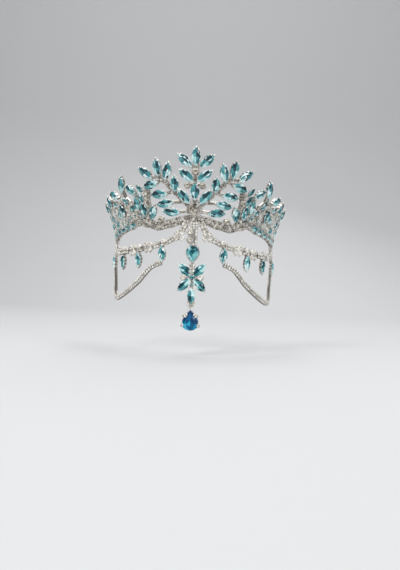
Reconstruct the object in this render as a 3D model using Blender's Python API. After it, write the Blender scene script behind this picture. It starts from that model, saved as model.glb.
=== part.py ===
"""A bridal crown of leaf sprays with a jewelled chain across the forehead.

The crown stands on a band that follows the head from temple to temple. Its wall leans outwards
above the band's line and is upright below it. Everything on the wall is placed on the wall's flat
pattern: a length along the band from the front, positive to the wearer's left, and a height from
the band's line. The forehead chain hangs below that line. +Z is up and the front faces -Y.
"""
import math

import bmesh
import bpy
from mathutils import Matrix, Vector

MM = 0.001

# The head line and the wall
BAND_HALF_WIDTH = 74 * MM
BAND_FRONT_DEPTH = 78 * MM
FRONT_RISE = 7.5 * MM
WALL_FLARE = math.radians(20)
HALF_LENGTH = 118 * MM
CROWN_HEIGHT = 65 * MM

# The band of three stone rows
BAND_WIDTH = 7.2 * MM
BAND_THICKNESS = 2.2 * MM
BAND_STEPS = 20
SCALLOP_DEPTH = 9 * MM
END_TAB_LENGTH = 7 * MM
END_TAB_HEIGHT = 6 * MM
END_TAB_THICKNESS = 2 * MM

# Branches and settings
RIB_THICKNESS = 1.2 * MM
RIB_WIDTH = 3.2 * MM
BRANCH_WIDTH = 4.2 * MM
SPINE_WIDTH = 3 * MM
CUP_BACK = 0.6 * MM
CUP_FLOOR = 1.4 * MM
CUP_FRONT = 2.8 * MM
CUP_WALL = 0.6 * MM
GAP = 0.3 * MM
STONE_BED = CUP_FLOOR + GAP

# Cut stones
MARQUISE_LENGTH = 13 * MM
MARQUISE_WIDTH = 5.3 * MM
SMALL_MARQUISE_LENGTH = 11 * MM
SMALL_MARQUISE_WIDTH = 4.7 * MM
STONE_HEIGHT = 3 * MM
GIRDLE_SHARE = 0.45
TABLE_SHARE = 0.56
BACK_SHARE = 0.5
OVAL_LENGTH = 8.4 * MM
OVAL_WIDTH = 6.6 * MM
ROUND_STONE = 4 * MM
ROUND_STONE_BACK = 0.3 * MM
ROUND_STONE_RISE = 0.25

# The pendant on the forehead
STRAP_LENGTH = 21 * MM
STRAP_WIDTH = 7 * MM
PEAR_LENGTH = 13 * MM
PEAR_WIDTH = 10.5 * MM
DROP_LENGTH = 16 * MM
DROP_WIDTH = 13 * MM
DROP_BALL = 1.3 * MM
DROP_SET_BACK = 2.1 * MM
RING_RADIUS = 1.5 * MM
RING_WIRE = 0.45 * MM
RING_SIDES = 10
WIRE_SIDES = 5
RING_PITCH = 2 * RING_RADIUS - 2 * RING_WIRE - GAP
RING_SEAT = RING_RADIUS - 0.3 * MM
PENDANT_LENGTH = 93 * MM

# The chains across the forehead
CHAIN_WIDTH = 5 * MM
CHAIN_THICKNESS = 1.5 * MM
CHAIN_STAND_OFF = 0.8 * MM
FLOWER_WIDTH = 10.5 * MM
SWAG_WIDTH = 4.2 * MM
SWAG_THICKNESS = 1.9 * MM
SWAG_SEAT = 0.7 * MM
CHAIN_DROP_LENGTH = 13.6 * MM
CHAIN_DROP_WIDTH = 6.6 * MM
LINK_WIDTH = 1.8 * MM
LINK_LENGTH = 4 * MM
LINK_OVERLAP = 1 * MM

# Lower edge of the band: share of the half length, share of the scallop depth
LOWER_EDGE = [
    (0.00, 0.00), (0.09, -0.28), (0.18, -0.60), (0.27, -0.80), (0.36, -0.46), (0.43, -0.16),
    (0.55, -0.50), (0.68, -0.66), (0.82, -0.90), (0.92, -1.00), (1.00, -0.70),
]

# Main stones of the crown: the point they grow from, as shares of the half length and of the
# crown's height, the way they point in degrees from the band's line, the cut, and whether a
# twin stands on the other side
CROWN_STONES = [
    ("top_marquise", 0.000, 0.765, 90, "marquise", False),
    ("upper_marquise", 0.021, 0.745, 42, "marquise", True),
    ("middle_marquise", 0.012, 0.555, 40, "marquise", True),
    ("lower_centre_marquise", 0.000, 0.315, 90, "marquise", False),
    ("lower_marquise", 0.036, 0.268, 51, "marquise", True),
    ("leaning_marquise", 0.130, 0.425, 92, "small_marquise", True),
    ("spray_inner_marquise", 0.188, 0.580, 107, "marquise", True),
    ("spray_middle_marquise", 0.232, 0.630, 90, "marquise", True),
    ("spray_outer_marquise", 0.273, 0.605, 43, "marquise", True),
    ("spray_side_marquise", 0.236, 0.535, -12, "marquise", True),
    ("upper_leaf_marquise", 0.180, 0.380, 0, "marquise", True),
    ("middle_leaf_marquise", 0.146, 0.265, -6, "marquise", True),
    ("lower_leaf_marquise", 0.105, 0.125, 9, "marquise", True),
    ("vee_outer_marquise", 0.370, 0.112, 86, "small_marquise", True),
    ("vee_inner_marquise", 0.322, 0.070, 114, "small_marquise", True),
    ("wing_inner_marquise", 0.425, 0.420, 45, "small_marquise", True),
    ("wing_top_marquise", 0.556, 0.480, 112, "marquise", True),
    ("wing_outer_marquise", 0.612, 0.430, 24, "marquise", True),
]

# Stones of the wings that are fused to their settings, in the same columns
WING_STONES = [
    ("low_inner", 0.425, 0.200, 92),
    ("middle", 0.590, 0.150, 84),
    ("outer", 0.760, 0.330, 78),
    ("end", 0.895, 0.300, 74),
]

# Round stones fused to the crown: share along, share up, diameter in round stones, twin
ROUND_STONES = [
    (0.000, 0.675, 1.5, False),
    (0.048, 0.490, 1.2, True),
    (0.243, 0.038, 1.5, True),
    (0.336, 0.310, 1.2, True),
    (0.500, 0.000, 1.0, True),
]

# Branches of the crown, drawn on one side: name, width, twin, points as shares along and up
BRANCHES = [
    ("lower_spine", "spine", False, [(0.0, 0.03), (0.0, 0.13)]),
    ("oval_spine", "spine", False, [(0.0, 0.21), (0.0, 0.36)]),
    ("middle_spine", "spine", False, [(0.0, 0.42), (0.0, 0.64)]),
    ("upper_spine", "spine", False, [(0.0, 0.66), (0.0, 0.80)]),
    ("diagonal", "branch", True, [(0.020, 0.180), (0.060, 0.255), (0.140, 0.410), (0.210, 0.575), (0.233, 0.635)]),
    ("upper_fork", "rib", True, [(0.005, 0.700), (0.030, 0.765)]),
    ("stone_fork", "rib", True, [(0.0, 0.505), (0.040, 0.490)]),
    ("side_fork", "rib", True, [(0.208, 0.575), (0.248, 0.530)]),
    ("outer_fork", "rib", True, [(0.219, 0.603), (0.278, 0.610)]),
    ("upper_leaf_fork", "rib", True, [(0.140, 0.400), (0.190, 0.380)]),
    ("middle_leaf_fork", "rib", True, [(0.070, 0.262), (0.156, 0.263)]),
    ("lower_leaf_fork", "rib", True, [(0.012, 0.150), (0.115, 0.127)]),
    ("stem", "branch", True, [(0.348, 0.010), (0.340, 0.200), (0.332, 0.460)]),
    ("wing_inner_rib", "rib", True, [(0.423, 0.290), (0.432, 0.440)]),
    ("wing_top_rib", "branch", True, [(0.535, 0.320), (0.556, 0.490)]),
    ("wing_middle_rib", "rib", True, [(0.596, 0.240), (0.622, 0.440)]),
]

# Field of small stones in each wing: share along, share of the crown's height at its top
WING_FIELD = [
    (0.380, 0.150), (0.400, 0.240), (0.440, 0.285), (0.480, 0.300), (0.530, 0.400), (0.580, 0.430),
    (0.640, 0.370), (0.740, 0.415), (0.850, 0.450), (0.910, 0.450), (0.950, 0.380), (0.975, 0.260),
    (0.985, 0.130),
]

# The forehead chain: share of the half length, share of the pendant's length below the band
CHAIN_START = -0.045
CHAIN_END = 0.880
CHAIN_ROUTE = [
    (0.102, -0.135), (0.225, -0.205), (0.350, -0.235), (0.510, -0.250), (0.640, -0.245), (0.760, -0.225),
    (CHAIN_END, -0.185),
]
CHAIN_FLOWERS = [(0.102, -0.135), (0.350, -0.235), (0.510, -0.250), (CHAIN_END, -0.185)]
CHAIN_DROPS = [(0.228, -0.230), (0.435, -0.275), (0.630, -0.275), (CHAIN_END, -0.250)]
SWAG_ROUTE = [
    (0.330, -0.430), (0.430, -0.550), (0.560, -0.640), (0.690, -0.690), (0.780, -0.690), (0.825, -0.630),
    (0.842, -0.520),
]

# The pendant from the top: shares of its length below the band
PEAR_TOP = -0.235
FLOWER_HEIGHT = -0.520
FLOWER_REACH = 2.2 * MM
LOWER_MARQUISE_FOOT = -0.750
RING_HEIGHT = -0.792


def band_line(along):
    """The foot of the wall at a length along the band, and the way out of the head there."""
    angle = along / ((BAND_HALF_WIDTH + BAND_FRONT_DEPTH) / 2)
    outward = Vector((BAND_FRONT_DEPTH * math.sin(angle), -BAND_HALF_WIDTH * math.cos(angle), 0)).normalized()
    foot = Vector((BAND_HALF_WIDTH * math.sin(angle), -BAND_FRONT_DEPTH * math.cos(angle),
                   FRONT_RISE * math.cos(angle)))
    return foot, outward


def wall_point(along, up, out=0.0):
    """A point on the wall, which leans outwards above the band's line."""
    foot, outward = band_line(along)
    flare = WALL_FLARE if up > 0 else 0.0
    slope = outward * math.sin(flare) + Vector((0, 0, math.cos(flare)))
    normal = outward * math.cos(flare) - Vector((0, 0, math.sin(flare)))
    return foot + slope * up + normal * out


def head_point(along, up, out=0.0):
    """A point just clear of the upright head, for the chain and the pendant."""
    foot, outward = band_line(along)
    return foot + outward * (out + CHAIN_STAND_OFF) + Vector((0, 0, up))


def tangent_frame(surface, along, up, degrees=0.0):
    """The frame of a piece that lies on a surface: X along the piece, Z out of the wall."""
    step = 0.5 * MM
    origin = surface(along, up)
    x_axis = (surface(along + step, up) - surface(along - step, up)).normalized()
    y_axis = (surface(along, up + step) - surface(along, up - step)).normalized()
    z_axis = x_axis.cross(y_axis).normalized()
    y_axis = z_axis.cross(x_axis)
    frame = Matrix((x_axis, y_axis, z_axis)).transposed().to_4x4()
    frame.translation = origin
    return frame @ Matrix.Rotation(math.radians(degrees), 4, "Z")


def smooth_route(points, steps):
    """Points along a smooth curve through the given pairs."""
    padded = [points[0]] + list(points) + [points[-1]]
    route = []
    for index in range(1, len(padded) - 2):
        before, start, end, after = padded[index - 1:index + 3]
        for step in range(steps):
            t = step / steps
            route.append(tuple(
                0.5 * (2 * b + (c - a) * t + (2 * a - 5 * b + 4 * c - d) * t ** 2 + (3 * b - a - 3 * c + d) * t ** 3)
                for a, b, c, d in zip(before, start, end, after)))
    route.append(tuple(points[-1]))
    return route


def sample(table, share):
    """The height of a table's smooth curve at a share of the half length."""
    for (low, low_value), (high, high_value) in zip(table, table[1:]):
        if share <= high:
            t = (share - low) / (high - low)
            ease = t * t * (3 - 2 * t)
            return low_value + (high_value - low_value) * ease
    return table[-1][1]


# Outlines, as points round a piece in its own plane

def marquise_outline(length, width):
    """A pointed oval of two arcs, with eight points."""
    radius = (length ** 2 + width ** 2) / (4 * width)
    upper = [(length / 2, 0.0)]
    for share in (0.62, 0.0, -0.62):
        x = length / 2 * share
        upper.append((x, math.sqrt(radius ** 2 - x ** 2) - radius + width / 2))
    return upper + [(-x, -y) for x, y in upper]


def oval_outline(length, width, count=8):
    """An oval with its first point at +X."""
    turns = [2 * math.pi * index / count for index in range(count)]
    return [(length / 2 * math.cos(turn), width / 2 * math.sin(turn)) for turn in turns]


def pear_outline(length, width):
    """A pear with its point at +X and a round end at -X."""
    radius = width / 2
    centre = radius - length / 2
    lift = math.acos(radius / (length - radius))
    turns = [lift + (2 * math.pi - 2 * lift) * index / 8 for index in range(9)]
    round_end = [(centre + radius * math.cos(turn), radius * math.sin(turn)) for turn in turns]
    shoulder = [(length / 2 * 0.72 + centre * 0.28, radius * 0.46)]
    return [(length / 2, 0.0)] + shoulder + round_end + [(x, -y) for x, y in shoulder]


def flower_outline(width):
    """Four round petals in one outline, the first of them at forty-five degrees."""
    petal = [(-18, 1.0), (18, 1.0), (45, 0.5)]
    points = [(math.radians(45 + 90 * index + degrees), width / 2 * share)
              for index in range(4) for degrees, share in petal]
    return [(far * math.cos(turn), far * math.sin(turn)) for turn, far in points]


def grown(outline, margin):
    """The outline with each side moved outwards by a margin."""
    result = []
    for index, (x, y) in enumerate(outline):
        arriving = (Vector((x, y)) - Vector(outline[index - 1])).normalized()
        leaving = (Vector(outline[(index + 1) % len(outline)]) - Vector((x, y))).normalized()
        along = (arriving + leaving).normalized()
        reach = margin / along.dot(leaving)
        result.append((x + along.y * reach, y - along.x * reach))
    return result


def shrunk(outline, share):
    """The outline scaled about its middle."""
    return [(x * share, y * share) for x, y in outline]


# Solids

def loft(name, rings):
    """A closed solid through rings of points, with an end face at each end."""
    shape = bmesh.new()
    rows = [[shape.verts.new(point) for point in ring] for ring in rings]
    count = len(rows[0])
    for low, high in zip(rows, rows[1:]):
        for index in range(count):
            follow = (index + 1) % count
            shape.faces.new((low[index], low[follow], high[follow], high[index]))
    shape.faces.new(rows[0][::-1])
    shape.faces.new(rows[-1])
    bmesh.ops.recalc_face_normals(shape, faces=shape.faces)
    mesh = bpy.data.meshes.new(name)
    shape.to_mesh(mesh)
    shape.free()
    solid = bpy.data.objects.new(name, mesh)
    bpy.context.scene.collection.objects.link(solid)
    return solid


def prism(name, frame, layers):
    """A solid through outlines at given heights in a frame."""
    return loft(name, [[frame @ Vector((x, y, height)) for x, y in outline] for outline, height in layers])


def cut_stone(name, frame, outline, bed, height=STONE_HEIGHT):
    """A faceted stone: a flat table, a ring of crown facets, and a ring of facets below."""
    return prism(name, frame, [
        (shrunk(outline, BACK_SHARE), bed),
        (outline, bed + height * GIRDLE_SHARE),
        (shrunk(outline, TABLE_SHARE), bed + height),
    ])


def cup(name, frame, outline):
    """A metal cup round a stone: a floor behind it and a wall that follows its edge."""
    inside = grown(outline, GAP)
    outside = grown(outline, GAP + CUP_WALL)
    return prism(name, frame, [
        (outside, CUP_BACK), (outside, CUP_FRONT), (inside, CUP_FRONT), (inside, CUP_FLOOR)])


def fused_stone(name, frame, outline, back, girdle, table):
    """A faceted stone that is fused to the metal behind it."""
    return prism(name, frame, [(outline, back), (outline, girdle), (shrunk(outline, TABLE_SHARE), table)])


def round_stone(frame, size):
    """A round stone that is fused to the metal behind it."""
    return fused_stone("round_stone", frame, oval_outline(size, size), ROUND_STONE_BACK, CUP_FRONT,
                       CUP_FRONT + ROUND_STONE_RISE * size)


# Sections of bars, as shares of the width and of the thickness
PLAIN_BAR = [(0.0, 0.0), (0.12, 1.0), (0.88, 1.0), (1.0, 0.0)]
TWO_ROW_BAR = [(0.0, 0.0), (0.0, 0.55), (0.25, 1.0), (0.5, 0.72), (0.75, 1.0), (1.0, 0.55), (1.0, 0.0)]


def ribbon(name, surface, route, width, thickness, section=PLAIN_BAR):
    """A bar along a route on a surface."""
    rings = []
    for index, (along, up) in enumerate(route):
        before = Vector(route[max(index - 1, 0)])
        after = Vector(route[min(index + 1, len(route) - 1)])
        across = (after - before).normalized()
        across = Vector((-across.y, across.x))
        rings.append([
            surface(along + across.x * (a - 0.5) * width, up + across.y * (a - 0.5) * width, b * thickness)
            for a, b in section])
    return loft(name, rings)


def ring(name, centre, axis):
    """A round wire link whose hole faces along an axis."""
    bpy.ops.mesh.primitive_torus_add(
        major_segments=RING_SIDES, minor_segments=WIRE_SIDES, major_radius=RING_RADIUS, minor_radius=RING_WIRE,
        location=centre, rotation=Vector(axis).to_track_quat("Z", "Y").to_euler())
    link = bpy.context.object
    link.name = name
    return link


def ball_prong(name, frame, x, y, low, high):
    """A post with a round tip, standing beside a stone."""
    layers = [(0.7, low), (0.6, high - DROP_BALL * 1.6), (1.0, high - DROP_BALL), (1.0, high - DROP_BALL * 0.5),
              (0.55, high)]
    rings = []
    for share, height in layers:
        outline = oval_outline(2 * DROP_BALL * share, 2 * DROP_BALL * share, 6)
        rings.append(([(x + a, y + b) for a, b in outline], height))
    return prism(name, frame, rings)


def fuse(name, parts):
    """Solder overlapping solids into one."""
    joined = bmesh.new()
    for part in parts:
        mesh = part.data
        mesh.transform(part.matrix_world)
        joined.from_mesh(mesh)
    mesh = bpy.data.meshes.new(name)
    joined.to_mesh(mesh)
    joined.free()
    for part in parts:
        bpy.data.objects.remove(part)
    rough = bpy.data.objects.new(name + "_rough", mesh)
    bpy.context.scene.collection.objects.link(rough)
    union = rough.modifiers.new("solder", "BOOLEAN")
    union.operation = "UNION"
    union.operand_type = "COLLECTION"
    union.collection = bpy.data.collections.new(name + "_empty")
    union.use_self = True
    bpy.context.view_layer.update()
    evaluated = rough.evaluated_get(bpy.context.evaluated_depsgraph_get())
    clean = bpy.data.meshes.new_from_object(evaluated)
    clean.name = name
    bpy.data.objects.remove(rough)
    solid = bpy.data.objects.new(name, clean)
    bpy.context.scene.collection.objects.link(solid)
    return solid


def finish(solid, material):
    """Give a finished piece its material and its smooth edges."""
    solid.data.materials.clear()
    solid.data.materials.append(material)
    solid.data.shade_smooth()
    solid.data.set_sharp_from_angle(angle=math.radians(25))
    return solid


def make_material(name, colour, roughness, metallic, transmission=0.0):
    """A plain material for the pieces."""
    material = bpy.data.materials.new(name)
    material.use_nodes = True
    shader = material.node_tree.nodes["Principled BSDF"]
    shader.inputs["Base Color"].default_value = (*colour, 1.0)
    shader.inputs["Roughness"].default_value = roughness
    shader.inputs["Metallic"].default_value = metallic
    shader.inputs["Transmission Weight"].default_value = transmission
    return material


STONE_CUTS = {
    "marquise": (MARQUISE_LENGTH, MARQUISE_WIDTH),
    "small_marquise": (SMALL_MARQUISE_LENGTH, SMALL_MARQUISE_WIDTH),
}


def sides(twin):
    """The sides a piece stands on, with the ending of its name."""
    return [(1, "_left"), (-1, "_right")] if twin else [(1, "")]


def place_stone(foot_along, foot_up, degrees, length, side):
    """The frame of a stone that grows from a point on the wall."""
    direction = math.radians(degrees)
    along = foot_along + math.cos(direction) * length / 2
    up = foot_up + math.sin(direction) * length / 2
    turn = degrees if side > 0 else 180 - degrees
    return tangent_frame(wall_point, side * along, up, turn)


def end_ring_height():
    """The height of the rings under the band that carry the chain's outer ends."""
    return sample(LOWER_EDGE, CHAIN_END) * SCALLOP_DEPTH - RING_SEAT


def build_band():
    """The band of three stone rows with its scalloped lower edge, and a flat tab at each end."""
    rings = []
    for index in range(-BAND_STEPS, BAND_STEPS + 1):
        share = index / BAND_STEPS
        lower = sample(LOWER_EDGE, abs(share)) * SCALLOP_DEPTH
        rings.append([wall_point(share * HALF_LENGTH, lower + a * BAND_WIDTH, b * BAND_THICKNESS)
                      for a, b in PLAIN_BAR])
    parts = [loft("band", rings)]
    for side in (1, -1):
        end_ring = head_point(side * CHAIN_END * HALF_LENGTH, end_ring_height(), CHAIN_THICKNESS / 2)
        parts.append(ring("end_ring", end_ring, band_line(side * CHAIN_END * HALF_LENGTH)[1]))
        foot = wall_point(side * HALF_LENGTH, sample(LOWER_EDGE, 1.0) * SCALLOP_DEPTH + BAND_WIDTH / 2,
                          BAND_THICKNESS / 2)
        bpy.ops.mesh.primitive_cube_add(size=1, location=foot)
        tab = bpy.context.object
        tab.scale = (END_TAB_THICKNESS, END_TAB_LENGTH, END_TAB_HEIGHT)
        bpy.context.view_layer.update()
        parts.append(tab)
    return parts


def build_branches():
    """The branches that carry the sprays and the wings."""
    widths = {"spine": SPINE_WIDTH, "branch": BRANCH_WIDTH, "rib": RIB_WIDTH}
    parts = []
    for name, width, twin, points in BRANCHES:
        for side, _ in sides(twin):
            route = [(side * a * HALF_LENGTH, b * CROWN_HEIGHT) for a, b in points]
            parts.append(ribbon(name, wall_point, route, widths[width], RIB_THICKNESS))
    return parts


def build_wing_fields():
    """The plate behind each wing's small stones, which grows out of the band."""
    parts = []
    for side in (1, -1):
        rings = []
        for share, top in WING_FIELD:
            along = side * share * HALF_LENGTH
            low = sample(LOWER_EDGE, share) * SCALLOP_DEPTH + BAND_WIDTH / 2
            line = [(low, 0.0), (low, RIB_THICKNESS), (top * CROWN_HEIGHT, RIB_THICKNESS), (top * CROWN_HEIGHT, 0.0)]
            rings.append([wall_point(along, up, out) for up, out in line])
        parts.append(loft("wing_field", rings))
    return parts


def build_crown(silver, aqua, clear):
    """The soldered frame of the crown, and the main stones that it holds."""
    parts = build_band() + build_branches() + build_wing_fields()
    for name, along, up, degrees, cut, twin in CROWN_STONES:
        length, width = STONE_CUTS[cut]
        outline = marquise_outline(length, width)
        for side, ending in sides(twin):
            frame = place_stone(along * HALF_LENGTH, up * CROWN_HEIGHT, degrees, length, side)
            finish(cut_stone(name + ending, frame, outline, STONE_BED), aqua)
            parts.append(cup(name, frame, outline))
    outline = marquise_outline(SMALL_MARQUISE_LENGTH, SMALL_MARQUISE_WIDTH)
    for name, along, up, degrees in WING_STONES:
        for side, _ in sides(True):
            frame = place_stone(along * HALF_LENGTH, up * CROWN_HEIGHT, degrees, SMALL_MARQUISE_LENGTH, side)
            parts.append(fused_stone(name, frame, grown(outline, CUP_WALL), CUP_BACK, CUP_FRONT,
                                     STONE_BED + STONE_HEIGHT))
    for along, up, size, twin in ROUND_STONES:
        for side, _ in sides(twin):
            frame = tangent_frame(wall_point, side * along * HALF_LENGTH, up * CROWN_HEIGHT)
            parts.append(round_stone(frame, size * ROUND_STONE))
    oval = oval_outline(OVAL_LENGTH, OVAL_WIDTH)
    frame = tangent_frame(wall_point, 0, 0.185 * CROWN_HEIGHT, 90)
    finish(cut_stone("centre_oval", frame, oval, STONE_BED), clear)
    parts.append(cup("oval_cup", frame, oval))
    finish(fuse("crown_frame", parts), silver)


def build_pendant(silver, aqua, blue):
    """The pendant on the forehead, and the blue drop that swings below it."""
    flower_up = FLOWER_HEIGHT * PENDANT_LENGTH
    foot_up = LOWER_MARQUISE_FOOT * PENDANT_LENGTH
    ring_up = RING_HEIGHT * PENDANT_LENGTH
    strap_top = sample(LOWER_EDGE, STRAP_WIDTH / 2 / HALF_LENGTH) * SCALLOP_DEPTH - GAP
    parts = [ribbon("strap", head_point, [(0, strap_top), (0, -STRAP_LENGTH)], STRAP_WIDTH, RIB_THICKNESS)]
    for side in (1, -1):
        centre = head_point(side * (STRAP_WIDTH / 2 + RING_SEAT), CHAIN_START * PENDANT_LENGTH, CHAIN_THICKNESS / 2)
        parts.append(ring("strap_ring", centre, (0, 1, 0)))
    spine = [(0, -STRAP_LENGTH + LINK_OVERLAP), (0, flower_up), (0, foot_up)]
    parts.append(ribbon("spine", head_point, spine, SPINE_WIDTH, RIB_THICKNESS))

    pear = pear_outline(PEAR_LENGTH, PEAR_WIDTH)
    frame = tangent_frame(head_point, 0, PEAR_TOP * PENDANT_LENGTH - PEAR_LENGTH / 2, -90)
    finish(cut_stone("aqua_pear", frame, pear, STONE_BED), aqua)
    parts.append(cup("pear_cup", frame, pear))

    petal = marquise_outline(MARQUISE_LENGTH, MARQUISE_WIDTH)
    reach = FLOWER_REACH + MARQUISE_LENGTH / 2
    for degrees, name in ((45, "upper_left"), (135, "upper_right"), (225, "lower_right"), (315, "lower_left")):
        turn = math.radians(degrees)
        frame = tangent_frame(head_point, reach * math.cos(turn), flower_up + reach * math.sin(turn), degrees)
        finish(cut_stone("flower_marquise_" + name, frame, petal, STONE_BED), aqua)
        parts.append(cup("petal_cup", frame, petal))
    for side in (1, -1):
        parts.append(round_stone(tangent_frame(head_point, side * reach * 0.8, flower_up), ROUND_STONE))
    cross = [(-reach, flower_up), (reach, flower_up)]
    parts.append(ribbon("cross", head_point, cross, SPINE_WIDTH, RIB_THICKNESS * 0.9))

    leaf = marquise_outline(SMALL_MARQUISE_LENGTH, SMALL_MARQUISE_WIDTH)
    frame = tangent_frame(head_point, 0, foot_up + SMALL_MARQUISE_LENGTH / 2, 90)
    finish(cut_stone("lower_pendant_marquise", frame, leaf, STONE_BED), aqua)
    parts.append(cup("lower_cup", frame, leaf))

    ring_centre = head_point(0, ring_up, RIB_THICKNESS - RING_WIRE / 4)
    parts.append(ring("pendant_ring", ring_centre, (0, 1, 0)))
    link = [(0, foot_up + LINK_OVERLAP), (0, ring_up + RING_RADIUS)]
    parts.append(ribbon("link", head_point, link, LINK_WIDTH, RIB_THICKNESS))
    finish(fuse("pendant_frame", parts), silver)

    bail_centre = ring_centre - Vector((0, 0, RING_PITCH))
    tip = bail_centre.z - RING_RADIUS - GAP
    drop = pear_outline(DROP_LENGTH, DROP_WIDTH)
    frame = Matrix.Translation((0, bail_centre.y + DROP_SET_BACK, tip - DROP_LENGTH / 2))
    frame = frame @ Matrix.Rotation(math.radians(90), 4, "X") @ Matrix.Rotation(math.radians(90), 4, "Z")
    finish(cut_stone("blue_drop", frame, drop, STONE_BED, STONE_HEIGHT * 1.3), blue)
    holder = [cup("drop_cup", frame, drop)]
    prong_corners = (2, 4, 8, 10)
    for index in prong_corners:
        corner = Vector(drop[index])
        centre = corner * (1 + (GAP + DROP_BALL) / corner.length)
        holder.append(ball_prong("prong", frame, centre.x, centre.y, CUP_BACK + GAP, STONE_BED + STONE_HEIGHT))
    holder.append(ring("bail", bail_centre, (1, 0, 0)))
    finish(fuse("drop_setting", holder), silver)


def build_chain(side, ending, silver):
    """One side of the forehead chain with its flowers and small drops, and its lower swag."""
    start_ring = side * (STRAP_WIDTH / 2 + RING_SEAT + RING_PITCH)
    start_height = CHAIN_START * PENDANT_LENGTH
    start = (start_ring + side * (RING_SEAT + CHAIN_WIDTH / 2), start_height - CHAIN_WIDTH / 2)
    route = [start] + [(side * a * HALF_LENGTH, b * PENDANT_LENGTH) for a, b in CHAIN_ROUTE]
    parts = [ribbon("chain", head_point, route, CHAIN_WIDTH, CHAIN_THICKNESS, TWO_ROW_BAR)]
    parts.append(ring("start_ring", head_point(start_ring, start_height, CHAIN_THICKNESS / 2), (0, 0, 1)))
    link = [(start_ring + side * RING_SEAT, start_height), start]
    parts.append(ribbon("start_link", head_point, link, LINK_WIDTH, CHAIN_THICKNESS))
    end_along = side * CHAIN_END * HALF_LENGTH
    end_height = end_ring_height() - RING_PITCH
    across = band_line(end_along)[1].cross(Vector((0, 0, 1)))
    parts.append(ring("end_ring", head_point(end_along, end_height, CHAIN_THICKNESS / 2), across))
    neck = [(end_along, end_height - RING_SEAT), (end_along, CHAIN_ROUTE[-1][1] * PENDANT_LENGTH)]
    parts.append(ribbon("neck", head_point, neck, LINK_WIDTH, CHAIN_THICKNESS))
    for along, up in CHAIN_FLOWERS:
        frame = tangent_frame(head_point, side * along * HALF_LENGTH, up * PENDANT_LENGTH)
        parts.append(fused_stone("flower", frame, flower_outline(FLOWER_WIDTH), 0.2 * MM, CHAIN_THICKNESS * 1.1,
                                 CHAIN_THICKNESS * 1.1 + 1 * MM))
    drop = marquise_outline(CHAIN_DROP_LENGTH, CHAIN_DROP_WIDTH)
    for along, up in CHAIN_DROPS:
        frame = tangent_frame(head_point, side * along * HALF_LENGTH,
                              up * PENDANT_LENGTH - CHAIN_DROP_LENGTH / 2, 90)
        parts.append(fused_stone("drop", frame, drop, 0.4 * MM, CUP_FRONT, STONE_BED + STONE_HEIGHT * 0.8))
        link = [(side * along * HALF_LENGTH, up * PENDANT_LENGTH - LINK_OVERLAP),
                (side * along * HALF_LENGTH, up * PENDANT_LENGTH + LINK_LENGTH)]
        parts.append(ribbon("link", head_point, link, LINK_WIDTH, CHAIN_THICKNESS * 0.8))
    finish(fuse("forehead_chain" + ending, parts), silver)

    first_tip, last_tip = [(along * HALF_LENGTH, up * PENDANT_LENGTH - CHAIN_DROP_LENGTH)
                           for along, up in (CHAIN_DROPS[0], CHAIN_DROPS[-1])]
    points = [(first_tip[0] + SWAG_SEAT, first_tip[1] - SWAG_SEAT)]
    points += [(a * HALF_LENGTH, b * PENDANT_LENGTH) for a, b in SWAG_ROUTE]
    points.append((last_tip[0] - GAP, last_tip[1] - SWAG_SEAT))
    route = smooth_route([(side * along, up) for along, up in points], 2)
    finish(ribbon("swag" + ending, head_point, route, SWAG_WIDTH, SWAG_THICKNESS, TWO_ROW_BAR), silver)


def main():
    """Build the whole crown in an empty scene."""
    for old in list(bpy.data.objects):
        bpy.data.objects.remove(old)
    silver = make_material("silver", (0.80, 0.79, 0.77), 0.18, 1.0)
    aqua = make_material("aqua_crystal", (0.35, 0.72, 0.75), 0.04, 0.0, 0.6)
    clear = make_material("clear_crystal", (0.90, 0.90, 0.88), 0.04, 0.0, 0.6)
    blue = make_material("blue_crystal", (0.02, 0.20, 0.62), 0.04, 0.0, 0.6)
    build_crown(silver, aqua, clear)
    build_pendant(silver, aqua, blue)
    for side, ending in sides(True):
        build_chain(side, ending, silver)
    crown = bpy.data.collections.new("bridal_crown")
    bpy.context.scene.collection.children.link(crown)
    for piece in list(bpy.context.scene.collection.objects):
        crown.objects.link(piece)
        bpy.context.scene.collection.objects.unlink(piece)


main()
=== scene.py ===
# %% [markdown]
# # A bridal crown with a jewelled forehead chain
#
# The crown is a band with leaf-shaped crystals growing from it, two wings thick with small
# stones, a pendant that hangs on the forehead, and chains that sweep from it to the temples.
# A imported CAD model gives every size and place. This lesson keeps its metal, swaps its plain
# stones for finely cut ones, and sets some eleven hundred small stones on it by rule.

# %% The fixed frame
import math
import random

import bpy
from mathutils import Matrix, Vector
from mathutils.bvhtree import BVHTree


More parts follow.
